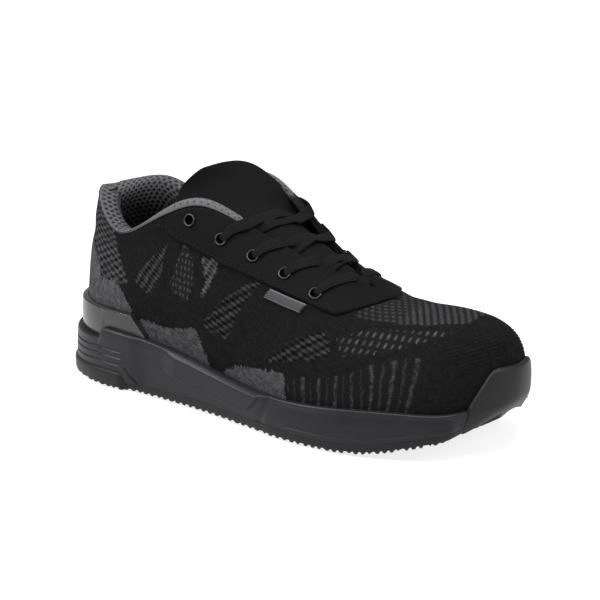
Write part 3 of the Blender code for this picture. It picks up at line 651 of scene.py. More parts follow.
class Look:
    """A Principled material and short ways to add nodes to it."""

    def __init__(self, name, roughness, specular=0.5, metallic=0.0, coat=0.0):
        self.material = bpy.data.materials.new(name)
        self.material.use_nodes = True
        self.tree = self.material.node_tree
        self.shader = self.tree.nodes["Principled BSDF"]
        self.shader.inputs["Roughness"].default_value = roughness
        self.shader.inputs["Specular IOR Level"].default_value = specular
        self.shader.inputs["Metallic"].default_value = metallic
        self.shader.inputs["Coat Weight"].default_value = coat
        self.shader.inputs["Coat Roughness"].default_value = COAT_ROUGHNESS

    def node(self, kind):
        return self.tree.nodes.new("ShaderNode" + kind)

    def put(self, socket, value):
        if isinstance(value, Value):
            self.tree.links.new(value.socket, socket)
        else:
            socket.default_value = value

    def math(self, operation, *values):
        node = self.node("Math")
        node.operation = operation
        for socket, value in zip(node.inputs, values):
            self.put(socket, value)
        return Value(self, node.outputs[0])

    def attribute(self, name, output="Fac"):
        node = self.node("Attribute")
        node.attribute_name = name
        return Value(self, node.outputs[output])

    def split(self, vector):
        node = self.node("SeparateXYZ")
        self.put(node.inputs[0], vector)
        return [Value(self, socket) for socket in node.outputs]

    def cloth(self):
        """Where a point lies on its own cloth, in millimetres across and along."""
        return self.split(self.attribute("cloth", "Vector"))[:2]

    def place(self):
        """Where a point is, in metres along the piece's own axes."""
        return Value(self, self.node("TexCoord").outputs["Object"])

    def noise(self, scale, detail):
        node = self.node("TexNoise")
        self.put(node.inputs["Vector"], self.place())
        node.inputs["Scale"].default_value = scale
        node.inputs["Detail"].default_value = detail
        return Value(self, node.outputs["Fac"])

    def blend(self, share, dark, light):
        node = self.node("Mix")
        node.data_type = "RGBA"
        self.put(node.inputs["Factor"], share)
        self.put(node.inputs[6], dark)
        self.put(node.inputs[7], light)
        return Value(self, node.outputs[2])

    def chance(self, x, y):
        """A random number from 0 to 1 for each whole step of x and y."""
        joined = self.node("CombineXYZ")
        for socket, value in zip(joined.inputs, (x, y)):
            self.put(socket, self.math("FLOOR", value))
        node = self.node("TexWhiteNoise")
        node.noise_dimensions = "2D"
        self.put(node.inputs["Vector"], Value(self, joined.outputs[0]))
        return Value(self, node.outputs["Value"])

    def lattice(self, x, y, across, along):
        """Dots in rows, each row half a step on from the last, and the holes between them."""
        product = (x * (2 * np.pi / across)).by("COSINE") * (y * (2 * np.pi / along)).by("COSINE")
        chance = self.chance(x * (2 / across) + 0.5, y * (2 / along) + 0.5) * 0.7 + 0.6
        dot, hole = (product * 2.2 - 0.1).clamp(), (product * -2.4 - 0.15).clamp()
        return dot * chance, (hole * chance).clamp()

    def dashes(self, x, y, pitch, wide, long, lean):
        """Leaning dashes in rows, each row half a step on, some stronger than others."""
        row = y / pitch[1]
        column = x / pitch[0] + row.by("FLOOR") * 0.5
        up = (row.by("FRACT") - 0.5) * pitch[1]
        aside = abs((column.by("FRACT") - 0.5) * pitch[0] + up * lean)
        body = ((wide - aside) * 1.6).clamp() * (long - abs(up) + 0.2).clamp()
        return body * (self.chance(column, row) * 0.6 + 0.7)

    def colour(self, value):
        self.put(self.shader.inputs["Base Color"], value)

    def bump(self, height, distance, strength):
        node = self.node("Bump")
        node.inputs["Distance"].default_value = distance
        node.inputs["Strength"].default_value = strength
        self.put(node.inputs["Height"], height)
        self.tree.links.new(node.outputs["Normal"], self.shader.inputs["Normal"])


def grey(value, blue=1.05):
    return (value, value, value * blue, 1.0)


# Plain materials. rough: even roughness. varied: the least roughness and how much clouds add to it.
# dark, light, blue: the tones of the clouds.
# cloud, grain: scale and detail. height, strength: the grain as bump.
Plain = namedtuple("Plain", "rough varied specular metallic coat dark light blue cloud grain height strength")
PLAIN = {
    "overlay": Plain(0.72, None, 0.05, 0, 0, 0.0028, 0.0048, 1.05, (1400, 3), (1400, 3), 0.0001, 0.4),
    "tongue": Plain(0.85, None, 0.06, 0, 0, 0.0032, 0.0062, 1.05, (1800, 2), (1800, 2), 0.0001, 0.4),
    "foam": Plain(0.42, (0.34, 0.16), 0.22, 0, 0, 0.0075, 0.0105, 1.2, (45, 2), (2500, 2), 0.00006, 0.35),
    "rubber": Plain(0.5, (0.40, 0.18), 0.20, 0, 0, 0.0065, 0.0092, 1.05, (60, 2), (2200, 3), 0.00008, 0.4),
    "clip": Plain(0.24, (0.18, 0.12), 0.45, 0, 0.1, 0.009, 0.013, 1.05, (70, 2), (500, 2), 0.00005, 0.15),
    "metal": Plain(0.34, (0.24, 0.2), 0.5, 1, 0, 0.028, 0.06, 1.05, (700, 3), None, 0, 0),
    "thread": Plain(0.7, None, 0.12, 0, 0, 0.003, 0.006, 1.05, (3000, 1), None, 0, 0),
}


def plain_look(name):
    row = PLAIN[name]
    look = Look(name, row.rough, row.specular, row.metallic, row.coat)
    cloud = look.noise(*row.cloud)
    look.colour(look.blend(cloud, grey(row.dark, row.blue), grey(row.light, row.blue)))
    if row.varied:
        least, more = row.varied
        look.put(look.shader.inputs["Roughness"], cloud * more + least)
    if row.grain:
        look.bump(look.noise(*row.grain), row.height, row.strength)
    return look.material


def stitches(look, wale, course):
    """Rows of V-shaped stitches in the cloth's own millimetres: their height and a random number each."""
    across, along = look.cloth()
    column = across / wale
    side = abs(column.by("FRACT") - 0.5)
    row = (along + side * (0.9 * course)) / course
    return row.wave(1.0) * (1.0 - (side * 2.0) ** 3.0), look.chance(column, row)


def knit_look():
    look = Look("knit", 0.95, specular=0.04)
    run, rise = look.cloth()
    x, y, z = (axis * (1 / MM) for axis in look.split(look.place()))
    upright = y * SIGHT + x
    stitch, chance = stitches(look, WALE, COURSE)
    mottle = look.chance(run / (2 * WALE), rise / (2 * COURSE))
    ragged = chance * 0.6 - 0.8
    ground, mark = look.attribute("ground"), look.attribute("mark")
    uneven = look.noise(260, 1.0) * 3.4 - 1.7
    loose = run + uneven
    patterns = {
        "net": look.lattice(rise * 0.25 + loose, uneven * -0.4 + rise, *NET),
        "grey": (mottle * 0.5 - 0.25, 0.0),
        "leaf": look.lattice(rise * 0.5 + loose, rise, *LEAF),
        "marks": (look.dashes(loose, rise, *MARKS), 0.0),
        "stripe": (stripe_share(look, upright, x, rise), 0.0),
        "dash": (look.dashes(upright, z, *DASHES), 0.0),
        "stroke": (stroke_share(look, upright, x, rise), 0.0),
    }
    tone, hole = mottle * 0.03, 0.0
    for kind, (strength, gap) in patterns.items():
        mask = ((look.attribute(kind) + ragged) * 5.0 + 0.5).clamp()
        yarn = ground * (strength + 1.0) if kind == "grey" else mix(ground, mark, strength)
        tone, hole = mix(tone, yarn, mask), mix(hole, gap, mask)
    share = (tone * (chance * 0.5 + 0.75)).clamp()
    yarn = look.blend(share, grey(KNIT_BLACK), grey(KNIT_GREY))
    yarn = look.blend(hole * 0.85, yarn, grey(KNIT_SHADOW))
    look.colour(look.blend(stitch * 0.5 + 0.6, grey(KNIT_SHADOW), yarn))
    look.bump(tone * 1.2 + stitch - hole * 1.5, 0.0004, 0.6)
    return look.material


def stripe_share(look, upright, x, rise):
    """Stripes over the vamp: whole towards the toe, rows of dots behind."""
    start, end = STRIPES_SOLID
    dots = look.math("MAXIMUM", rise.wave(DOT_PITCH), ((x - start) / (end - start)).clamp())
    return (upright.wave(STRIPE_PITCH) * dots * 1.8 - 0.35).clamp()


def stroke_share(look, upright, x, rise):
    """Uneven strokes above the sole, wide and narrow by turns, leaning towards the toe."""
    lean = (x * 0.022 - 1.7).clamp()
    sway = look.noise(160, 1.0) * 3.2 - 1.6
    count = (lean * rise * -0.45 + upright + sway) / STROKE_PITCH
    away = abs(count.by("FRACT") - 0.5)
    main = look.math("GREATER_THAN", (count.by("FLOOR") * 0.5).by("FRACT"), 0.25)
    width = main * 0.10 + (look.chance(count, 0.5) * 0.08 + 0.06)
    bar = ((width - away) * 5.0 + 0.35).clamp()
    broken = (look.noise(420, 2.0) * 3.2 - 0.9).clamp()
    return bar * broken * (main * 0.4 + 0.6)


def lining_look():
    look = Look("lining", 0.9, specular=0.08)
    stitch, chance = stitches(look, 0.8, 0.8)
    uneven = look.noise(700, 2.0) * 1.1 + 0.4
    tone = look.attribute("tone") * (uneven * (chance * 0.3 + 0.85))
    yarn = look.blend(tone, grey(0.006), grey(0.122))
    # painted shade: darker in the hollows between the stitches
    look.colour(look.blend(stitch * 0.4 + 0.7, grey(0.006), yarn))
    look.bump(stitch, 0.0002, 0.5)
    return look.material


def cord_look():
    look = Look("cord", 0.9, specular=0.06)
    across, along = look.cloth()
    twill = (along + abs(across) * 0.7).wave(1.5)
    weave = (twill * 0.5 + 0.5) * across.wave(1.15)
    look.colour(look.blend(weave, grey(0.0035), grey(0.0115)))
    look.bump(weave, 0.0003, 0.7)
    return look.material


def woven_look():
    look = Look("woven", 0.75, specular=0.15)
    across, along = look.cloth()
    weave = across.wave(0.9) * along.wave(0.9)
    tape = look.blend(weave, grey(0.03), grey(0.068))
    look.colour(look.blend(look.attribute("tone"), tape, grey(0.14)))
    look.bump(weave, 0.0002, 0.5)
    return look.material


# The upper


def inside(outline, x, y):
    """True where points lie inside an outline."""
    result = np.zeros(np.broadcast_shapes(x.shape, y.shape), bool)
    for (xa, ya), (xb, yb) in zip(outline, outline[1:] + outline[:1]):
        if ya != yb:
            at = xa + (y - ya) * (xb - xa) / (yb - ya)
            result ^= ((ya > y) != (yb > y)) & (x < at)
    return result


def zone_mask(outline, places, ups, times):
    """1 inside an outline on both sides of the wall's grid, its edge averaged with its neighbours."""
    mask = inside(outline, from_heel(places)[:, None], ups[None, :]).astype(float)
    for _ in range(times):
        mask = 0.5 * mask + 0.25 * (np.roll(mask, 1, 0) + np.roll(mask, -1, 0))
        padded = np.pad(mask, ((0, 0), (1, 1)), mode="edge")
        mask = 0.5 * mask + 0.25 * (padded[:, 2:] + padded[:, :-2])
    return mask


def knit_zones(places, ups):
    """The mask of each kind of knit over the wall's grid, and the tones of the zone at each point."""
    names = [zone.kind for zone in KNIT.values()] + ["ground", "mark"]
    values = {name: np.zeros((len(places), len(ups))) for name in names}
    for zone in KNIT.values():
        mask = zone_mask(zone.outline, places, ups, 2)
        values[zone.kind] = np.maximum(values[zone.kind], mask)
        for name in ("ground", "mark"):
            values[name] = np.where(mask > 0.02, getattr(zone, name), values[name])
    return values


def toe_ridges(places, ups, length):
    """Fine level ridges over the toe."""
    pitch, high = TOE_RIDGE
    waves = np.cos(2 * np.pi * ups * length[:, None] / pitch)
    return zone_mask(TOE_RIDGES, places, ups, 3) * high * waves


def crease_relief(places, ups, length):
    """The listed troughs over the wall's grid."""
    fine = np.linspace(0, TOE, 400)
    marks = SIDE_LENGTH * run_share(wall(fine, 0.5))
    run = np.interp(from_heel(places)[:, None], fine, marks)
    rise = ups[None, :] * length[:, None]
    total = np.zeros(rise.shape)
    for crease in CREASES:
        start = (np.interp(crease.place_a, fine, marks), crease.up_a * wall_length(crease.place_a))
        end = (np.interp(crease.place_b, fine, marks), crease.up_b * wall_length(crease.place_b))
        share, away = from_line(run, rise, start, end)
        taper = np.sin(np.pi * (0.15 + 0.7 * share))
        total -= crease.depth * taper * np.exp(-((away / crease.width) ** 2))
    return total


def eyelet_spots():
    for number, (place, up) in enumerate(EYELETS, 1):
        for side, where in (("lateral", place), ("medial", LOOP - place)):
            yield f"{side}_{number}", where, up


def pit(points, depth, radius):
    """A hollow at each eyelet, for the lace to enter."""
    total = np.zeros(points.shape[:2])
    for _, place, up in eyelet_spots():
        away = np.linalg.norm(points - wall(place, up), axis=-1)
        total = np.maximum(total, depth * (1 - step_between(away, radius - 0.5, radius + 0.4)))
    return total


def upper_mesh():
    half = half_places(HALF_COLUMNS)
    places = both_sides(half)[:-1]
    hidden_ups = np.linspace(0, HIDDEN_UP, HIDDEN_ROWS, endpoint=False)
    ups = np.concatenate([hidden_ups, np.linspace(HIDDEN_UP, 1, WALL_ROWS)])
    length = wall_length(places)
    base, normal = wall(places[:, None], ups), ridge_out(places[:, None], ups)
    relief = toe_ridges(places, ups, length) + crease_relief(places, ups, length)
    relief -= pit(base, UPPER_WALL - 0.3, EYELET_INNER + 0.6)
    run = running(wall(places, 0.4))
    run = run - run[len(half) - 1]
    values = {"cloth": cloth_at(run[:, None], ups * length[:, None]), **knit_zones(places, ups)}
    shape = Shape()
    outer = shape.grid(base + normal * relief[..., None], values, closed_rows=True)
    coarse = both_sides(half_places(HALF_COLUMNS // 4))[:-1]
    coarse_ups = np.linspace(0, 1, 24)
    back = wall(coarse[:, None], coarse_ups) - ridge_out(coarse[:, None], coarse_ups) * UPPER_WALL
    inner = shape.grid(back, closed_rows=True)
    shape.zip(outer[:, 0], inner[:, 0], closed=True)
    opened, opened_back = (np.abs(p) <= THROAT_END + 0.05 for p in (places, coarse))
    shape.zip(outer[opened, -1], inner[opened_back, -1])
    return shape.mesh("upper_knit")


# The sole


def under_at(place):
    return np.maximum(UNDER(place), 0)


def joint_at(place):
    start, end, size = HEEL_BAND
    return JOINT(place) + size * (1 - step_between(from_heel(place), start, end))


def lip_at(place):
    start, end, size = HEEL_LEDGE
    return LIP(place) - size * (1 - step_between(from_heel(place), start, end))


def side_ring(places, heights, reach):
    """Points at heights round the sole, out from the upper's wall or the foot edge below it."""
    base = wall(places, up_at_height(places, heights))
    base[:, 2] = heights
    return base + outward(places) * np.broadcast_to(reach, places.shape)[:, None]


def toe_rounding(places, heights):
    """How far the sole's lower edge draws in at the toe."""
    start, end, size, height = TOE_ROUND
    rise = np.clip((heights - under_at(places)) / height, 0, 1)
    return size * step_between(from_heel(places), start, end) * (1 - rise) ** 2


def sole_places(columns=SOLE_COLUMNS):
    return both_sides(half_places(columns, up=0.0))[:-1]


def close_ring(shape, points, across, height=None):
    """Closes a ring of points, toe to heel to toe, with strips from side to side."""
    middle = len(points) // 2
    lateral = np.concatenate([points[middle:], points[:1]])
    medial = points[middle::-1]
    shares = np.linspace(0, 1, across)[None, :, None]
    grid = lateral[:, None] * (1 - shares) + medial[:, None] * shares
    if height is not None:
        grid[..., 2] = height(grid)
    shape.grid(grid)


def sole_run(places):
    """Length round the foot edge from the heel, less than nothing on the inner side."""
    fine = np.linspace(0, TOE, 600)
    signed = np.mod(np.asarray(places, float) + TOE, LOOP) - TOE
    return np.sign(signed) * np.interp(np.abs(signed), fine, running(foot(fine)))


def sole_grooves(places, heights):
    """Depth of the grooves in the midsole's side."""
    run, rise = sole_run(places), heights - JOINT(places)
    depth = np.zeros(len(places))
    for line in SOLE_LINES:
        start, end = (sole_run(line.place_a), line.rise_a), (sole_run(line.place_b), line.rise_b)
        _, away = from_line(run, rise, start, end)
        depth = np.maximum(depth, line.depth * (1 - step_between(away / line.width, 0, 1)))
    return depth


def midsole_mesh():
    places = sole_places()
    near = from_heel(places)
    joint, lip = joint_at(places) + JOINT_GAP, lip_at(places)
    panel, fore = step_between(near, *PANEL_START), step_between(near, *FORE_START)
    drawn_in, behind = step_between(near, *RECESS), step_between(near, *BEHIND_BUMPER)
    edged = step_between(near, *FORE_EDGE["begins"]) * (1 - step_between(near, *FORE_EDGE["ends"]))
    panel_edge, panel_from = table_at(PANEL_EDGE, near), step_between(near, *PANEL_FROM)
    first = LIP_THICK - (LIP_THICK - GAP) * behind - toe_rounding(places, joint)
    rings = [side_ring(places, joint, first)]
    for step in np.linspace(0, len(SIDE) - 1, MIDSOLE_RINGS):
        row = {name: curve(step) for name, curve in SIDE_CURVE.items()}
        share = mix(mix(row["heel_share"], row["panel_share"], panel), row["fore_share"], fore)
        reach = mix(mix(row["heel_reach"], row["panel_reach"], panel), row["fore_reach"], fore)
        share = np.clip(share, 0, 1)
        heights = joint + (lip - joint) * share
        over_edge, over_joint = heights - panel_edge, heights - JOINT(places)
        raised = step_between(over_edge, *PANEL_STEP) * panel_from * (1 - step_between(share, *PANEL_TOP))
        bead = np.exp(-((over_edge / BEAD_HALF) ** 2)) * panel_from
        reach = reach + PANEL_RISE * raised + BEAD_RISE * bead - sole_grooves(places, heights)
        below = 1 - step_between(over_joint - FORE_EDGE["height"], -0.25, 0.25)
        reach = reach + FORE_EDGE["step"] * edged * below
        hidden = GAP + LIP_THICK * (1 - behind) - toe_rounding(places, heights)
        rings.append(side_ring(places, heights, mix(reach, hidden, drawn_in)))
    ups = up_at_height(places, lip)
    for share in (1.0, 0.5, 0.0):
        rings.append(wall(places, ups * share) + wall_out(places, ups * share) * GAP)
    rings[-1][:, 2] -= GAP
    shape = Shape()
    shape.grid(np.array(rings), closed_columns=True)
    close_ring(shape, rings[0], 3)
    close_ring(shape, rings[-1], 3)
    return shape.mesh("midsole_foam", 40)


def tread_depth(x, y):
    """How deep the tread is cut at points of the underside."""
    wave = np.abs(np.mod(x - CUT_SLANT * np.abs(y), CUT_PITCH) - CUT_PITCH / 2)
    depth = CUT_DEPTH * (1 - step_between(wave, CUT_WIDTH / 2 - 0.35, CUT_WIDTH / 2 + 0.35))
    for first, last, pitch in MAIN_GROOVES:
        for middle in np.arange(first, last + 1, pitch):
            cut = 1 - step_between(np.abs(x - middle), MAIN_WIDTH / 2 - 0.6, MAIN_WIDTH / 2 + 0.1)
            depth = np.maximum(depth, MAIN_DEPTH * cut)
    return depth


def tread_heights(grid):
    """Heights of the underside, with the tread's cuts away from its two edges."""
    fine = np.linspace(0, TOE, 300)
    base = np.interp(grid[..., 0], FOOT_X(fine), under_at(fine))
    cut = tread_depth(grid[..., 0], grid[..., 1]) * (1 - step_between(grid[..., 0], *TREAD_END))
    across = np.linspace(0, 1, grid.shape[1])
    away = np.minimum(1, 6 * np.minimum(across, across[::-1]))
    return mix(grid[..., 2], base + cut, away[None, :])


def outsole_mesh():
    places = sole_places()
    near = from_heel(places)
    under, joint = under_at(places), joint_at(places)
    heel = 1 - step_between(near, *HEEL_BAND[:2])
    edge = OUTSOLE_REACH + HEEL_MORE * heel + FORE_MORE * step_between(near, *FORE_START)
    for start, end, less in TOE_LESS:
        edge = edge - less * step_between(near, start, end)
    cuts = 1 - step_between(near, *EDGE_CUTS_END)
    rings = []
    for rise, share, inset in EDGE_RINGS:
        ring = side_ring(places, under + rise, edge - inset - toe_rounding(places, under + rise))
        cut = tread_depth(ring[:, 0], ring[:, 1]) * cuts * share
        ring[:, 2] = np.maximum(ring[:, 2], under + cut + 0.4 * rise)
        rings.append(ring)
    everywhere, at_heel = SIDE_INSET
    for share, inset in SIDE_RINGS:
        heights = mix(under + SIDE_LOW, joint, share)
        reach = edge - inset * (everywhere + at_heel * heel) - toe_rounding(places, heights)
        rings.append(side_ring(places, heights, reach))
    rings.append(side_ring(places, joint, LIP_THICK - 0.6 - toe_rounding(places, joint)))
    shape = Shape()
    shape.grid(np.array(rings), closed_columns=True)
    close_ring(shape, rings[0], 80, tread_heights)
    close_ring(shape, rings[-1], 3)
    return shape.mesh("outsole_rubber", 40)


def insole_mesh():
    places = sole_places(SOLE_COLUMNS // 2)
    edge, out = foot(places), outward(places)
    rings = []
    for back, rise in ((0, 0), (0, INSOLE_THICK - 0.8), (0.3, INSOLE_THICK - 0.2), (1.2, INSOLE_THICK)):
        rings.append(edge - out * (UPPER_WALL + 2 * GAP + back) + SKY * rise)
    step = 1.5
    cloth = cloth_at(np.arange(len(places))[None, :] * step, np.arange(len(rings))[:, None] * step)
    tone = np.full(cloth.shape[:2], 0.35)
    shape = Shape()
    shape.grid(np.array(rings), {"cloth": cloth, "tone": tone}, closed_columns=True)
    close_ring(shape, rings[0], 3)
    close_ring(shape, rings[-1], 30)
    return shape.mesh("insole_sheet")


# Overlays on the sole and the upper


def patch(name, grid, normals, thick, values=None, sharp=50):
    """A closed sheet: its face at a height over each point of a grid, its back on the grid."""
    shape = Shape()
    face = shape.grid(grid + normals * thick[..., None], values)
    back = shape.grid(grid, values)
    for edge in (np.s_[0], np.s_[-1], np.s_[:, 0], np.s_[:, -1]):
        shape.zip(face[edge], back[edge])
    return shape.mesh(name, sharp)


def rounded(thick, away, radius, floor=0.15):
    """Thickness that rounds off towards an edge, by the distance from it."""
    t = np.clip(away / radius, 0, 1)
    return thick * (floor + (1 - floor) * np.sqrt(1 - (1 - t) ** 2))


def lengths_along(grid, axis):
    """Running length along the rows or columns of a grid, from its start and from its end."""
    step = np.linalg.norm(np.diff(grid, axis=axis), axis=-1)
    start = np.concatenate([np.zeros_like(np.take(step, [0], axis)), np.cumsum(step, axis)], axis)
    return start, np.take(start, [-1], axis) - start


def bumper_mesh():
    behind, ahead = np.linspace(BUMPER[0][0], BUMPER_TURN, 70), np.linspace(BUMPER_TURN, TOE, 30)
    half = np.concatenate([behind, ahead[1:]])
    places = np.concatenate([half, LOOP - half[-2::-1]])
    near = from_heel(places)
    low = under_at(places) + 0.2
    high = np.maximum(table_at(BUMPER, near), low + 1.0)
    rise = low[:, None] + (high - low)[:, None] * np.linspace(0, 1, 70)
    grid = np.stack([side_ring(places, h, 0.5 - toe_rounding(places, h)) for h in rise.T], 1)
    normals = np.repeat(outward(places)[:, None], rise.shape[1], 1)
    start, end, less = BUMPER_THINS
    thick = BUMPER_THICK - less * step_between(rise, start, end)
    from_low, from_top = lengths_along(grid, 1)
    side, other = lengths_along(grid, 0)
    steep = np.maximum(np.abs(np.gradient(high)), 1e-3)
    slope = np.minimum(1, np.gradient(places) * 33 / steep + 0.15)[:, None]
    thick = rounded(thick, np.minimum(from_top * slope, np.minimum(side, other) + 0.3), 2.2)
    thick -= 1.6 * (1 - step_between(from_low, 0, 8)) * step_between(near, 11.2, 11.7)[:, None]
    return patch("toe_bumper", grid, normals, np.maximum(thick, 0.1))


def clip_mesh():
    start, end = CLIP_END
    stops = [(0, 1.9, 60), (1.9, 2.12, 20), (2.12, end, 50)]  # closest where the ledge steps
    half = np.concatenate([[0.0]] + [np.linspace(*stop)[1:] for stop in stops])
    places = both_sides(half)
    low = lip_at(places) + GAP
    slant = np.clip((np.abs(places) - start) / (end - start), 0, 1)
    high = CLIP_TOP + slant * (low + 1.2 - CLIP_TOP)
    ups = np.stack([up_at_height(places, mix(low, high, share)) for share in np.linspace(0, 1, 36)], 1)
    normals = wall_out(places[:, None], ups)
    grid = wall(places[:, None], ups) + normals * (GAP + 0.1)
    bottom, from_top = lengths_along(grid, 1)
    bulge, height = CLIP_CROWN
    crown = bulge * np.sin(np.pi * np.clip(bottom / height, 0, 1))
    square_end = 99 * step_between(np.abs(places), start - 0.05, start)[:, None]
    thick = rounded(CLIP_THICK + crown, from_top + square_end, 1.1)
    return patch("heel_clip_shell", grid, normals, thick, sharp=60)


def eyestay_grid(columns, rows):
    """One side of the eyestay: its places and the ups of its rows."""
    side = np.linspace(EYESTAY_EDGE[0][0], EYESTAY_EDGE[-1][0], columns)
    side = np.sort(np.append(side, THROAT_END))
    low, high = table_at(EYESTAY_EDGE, side), table_at(EYESTAY_TOP, side)
    return side, low[:, None] + (high - low)[:, None] * np.linspace(0, 1, rows)


def eyestay_mesh():
    side, ups = eyestay_grid(300, 46)
    front = step_between(side, *EYESTAY_FRONT)[:, None]
    gap = EYESTAY_GAP - FRONT_SINKS * front
    seam_in, seam_half, seam_deep = SEAM
    throat = side <= THROAT_END
    shape = Shape()
    for places in (side, LOOP - side):
        normal = ridge_out(places[:, None], ups)
        normal[-1] = normal[-1, -1]
        base = wall(places[:, None], ups)
        from_low, from_high = lengths_along(base, 1)
        from_back, _ = lengths_along(base, 0)
        open_top = (side < THROAT_END)[:, None]
        free = np.minimum(from_low, np.where(open_top, from_high, 99.0))
        thick = rounded(EYESTAY_THICK - FRONT_THINS * front, np.minimum(free, from_back), 1.3, 0.2)
        thick -= seam_deep * np.exp(-(((from_low - seam_in) / seam_half) ** 2))
        thick -= np.minimum(pit(base, EYESTAY_THICK + 0.3, EYELET_INNER + 0.5), thick + 0.3)
        cloth = cloth_at(from_back, from_low)
        face = shape.grid(base + normal * (gap + thick)[..., None], {"cloth": cloth})
        back = shape.grid(base + normal * (gap - 0.3)[..., None])
        for edge in (np.s_[:, 0], np.s_[0], np.s_[throat, -1]):
            shape.zip(face[edge], back[edge])
    return shape.mesh("eyestay_overlay", 60)


def stitch_mesh():
    """Rows of thread along the eyestay's lower edge, each stitch a small rounded bead."""
    side, ups = eyestay_grid(500, 120)
    used = np.arange(6, len(side) - 25)
    sunk = (FRONT_THINS + FRONT_SINKS) * step_between(side[used], *EYESTAY_FRONT)[:, None]
    turns = np.linspace(0, 2 * np.pi, 8, endpoint=False)[:, None]
    shares = np.linspace(0, 1, 6)
    fat = STITCH_HALF * np.sqrt(np.clip(1 - (2 * shares - 1) ** 2, 0.02, 1))[:, None, None]
    shape = Shape()
    for places in (side, LOOP - side):
        base = wall(places[:, None], ups)
        from_low, _ = lengths_along(base, 1)
        pick = np.argmin(np.abs(from_low - SEAM[0]), 1)[used]
        normal = wall_out(places[used], ups[used, pick])
        line = base[used, pick] + normal * (EYESTAY_FACE - 0.1 - sunk)
        run = running(line)
        for start in np.arange(1.0, run[-1] - 3.0, STITCH_PITCH):
            marks = start + STITCH_LONG * shares
            spots, up = (np.stack([np.interp(marks, run, c) for c in v.T], -1) for v in (line, normal))
            up = unit(up)
            wide = unit(np.cross(up, np.gradient(spots, axis=0)))
            shape.tube(spots[:, None] + fat * (np.cos(turns) * wide[:, None] + np.sin(turns) * up[:, None]))
    return shape.mesh("eyestay_stitches")


def lining_profile(pad, depth, roll, lap):
    """The lining's section as (depth under the rim, distance out of the wall): shown, then hidden."""
    inner, back = UPPER_WALL + 0.8 + pad, UPPER_WALL + 0.9
    out = min(0.45 * lap, 0.75)
    show = np.array([
        (lap, 0.3 * out), (0.85 * lap, 0.8 * out), (0.2 * lap, out), (-0.5 * roll, 0.7 * out),
        (-0.92 * roll, -0.18 * inner), (-roll, -0.5 * inner), (-0.5 * roll, -0.86 * inner),
        (5.0, -inner), (0.4 * depth, -0.97 * inner), (0.75 * depth, -back - 0.5 * pad), (depth, -back - 0.7),
    ])
    hidden = [(depth, -back), (0.5 * depth, -back), (-2 * GAP, -back), (-2 * GAP, GAP + 0.15)]
    steps = np.linspace(0, len(show) - 1, 300)
    curve = np.stack([open_spline(column)(steps) for column in show.T], -1)
    share = run_share(curve)
    even = np.linspace(0, 1, LINING_ROWS)
    return np.concatenate([np.stack([np.interp(even, share, c) for c in curve.T], -1), hidden])


def lining_mesh():
    table = np.array(LINING)
    places = both_sides(half_places(LINING_COLUMNS, end=LINING[-1].place, up=1.0))
    sizes = np.stack([np.interp(np.abs(places), table[:, 0], column) for column in table.T[1:]], -1)
    length = wall_length(places)
    top = wall(places, 1.0)
    rising = unit(top - wall(places, 0.985))
    rings = []
    for k, place in enumerate(places):
        under, out = lining_profile(*sizes[k]).T
        up = 1 - np.maximum(under, 0) / length[k]
        spot = wall(place, up) + rising[k] * np.maximum(-under, 0)[:, None]
        rings.append(spot + wall_out(place, np.minimum(up, 0.995)) * out[:, None])
    rings = np.array(rings)
    tone, relief = mesh_holes(places, rings.shape[1])
    tone = tone * (1 - 0.95 * step_between(np.abs(places), *LINING_DARK))[:, None]
    normal = unit(np.cross(np.gradient(rings, axis=0), np.gradient(rings, axis=1)))
    relief[:, LINING_ROWS - 4 :] = 0
    relief[:2] = relief[-2:] = 0
    down = np.minimum(np.arange(rings.shape[1]) / (LINING_ROWS - 1), 1) * LINING_CLOTH
    cloth = cloth_at(running(top)[:, None], down[None, :])
    shape = Shape()
    shape.tube(rings + normal * relief[..., None], {"tone": tone, "cloth": cloth})
    return shape.mesh("collar_padding", 70)


def mesh_holes(places, rows):
    """Rows of pits, each row half a step on from the last, fewer along the edge: tone, with painted shade
    deeper inside, and relief.
    """
    column = np.arange(len(places))[:, None] - (len(places) - 1) // 2
    row = np.arange(rows)[None, :]
    near = np.abs(places)
    lattice = np.cos(2 * np.pi * column / 6) * np.cos(2 * np.pi * row / 12)
    plain = 2 + 12 * step_between(near, 2.3, 2.7) * (1 - step_between(near, 3.7, 4.1))
    binding = step_between(near, 3.3, 3.9)[:, None]
    hole = np.clip((-lattice - 0.1 - 0.4 * binding) / 0.4, 0, 1) * step_between(row - plain[:, None], 0, 4)
    # painted shade: the lining darkens row by row deeper inside the shoe
    painted_shade = (1 - 0.4 * step_between(row, 14, 24)) * (1 - 0.3 * step_between(row, 30, 44))
    return (1 - 0.95 * hole) * painted_shade * (0.76 + 0.24 * binding), 0.1 - 0.6 * hole


def eyelet_mesh(name, place, up):
    normal = wall_out(place, up)
    centre = wall(place, up) + normal * EYESTAY_FACE
    along = unit(wall(place + 0.01, up) - wall(place - 0.01, up))
    turns = np.linspace(0, 2 * np.pi, 48, endpoint=False)[:, None]
    spoke = np.cos(turns) * along + np.sin(turns) * np.cross(normal, along)
    middle, half = (EYELET_OUTER + EYELET_INNER) / 2, (EYELET_OUTER - EYELET_INNER) / 2
    profile = []
    for angle in np.linspace(0, np.pi, 12):
        profile.append((middle + half * np.cos(angle), 0.1 + EYELET_HEIGHT * np.sin(angle)))
    profile += [(EYELET_INNER, -1.5), (EYELET_INNER + 0.4, -1.5), (EYELET_INNER + 0.4, -0.1)]
    shape = Shape()
    rings = np.array([centre + spoke * radius + normal * height for radius, height in profile])
    shape.grid(rings, closed_rows=True, closed_columns=True)
    return shape.mesh(name, 60)


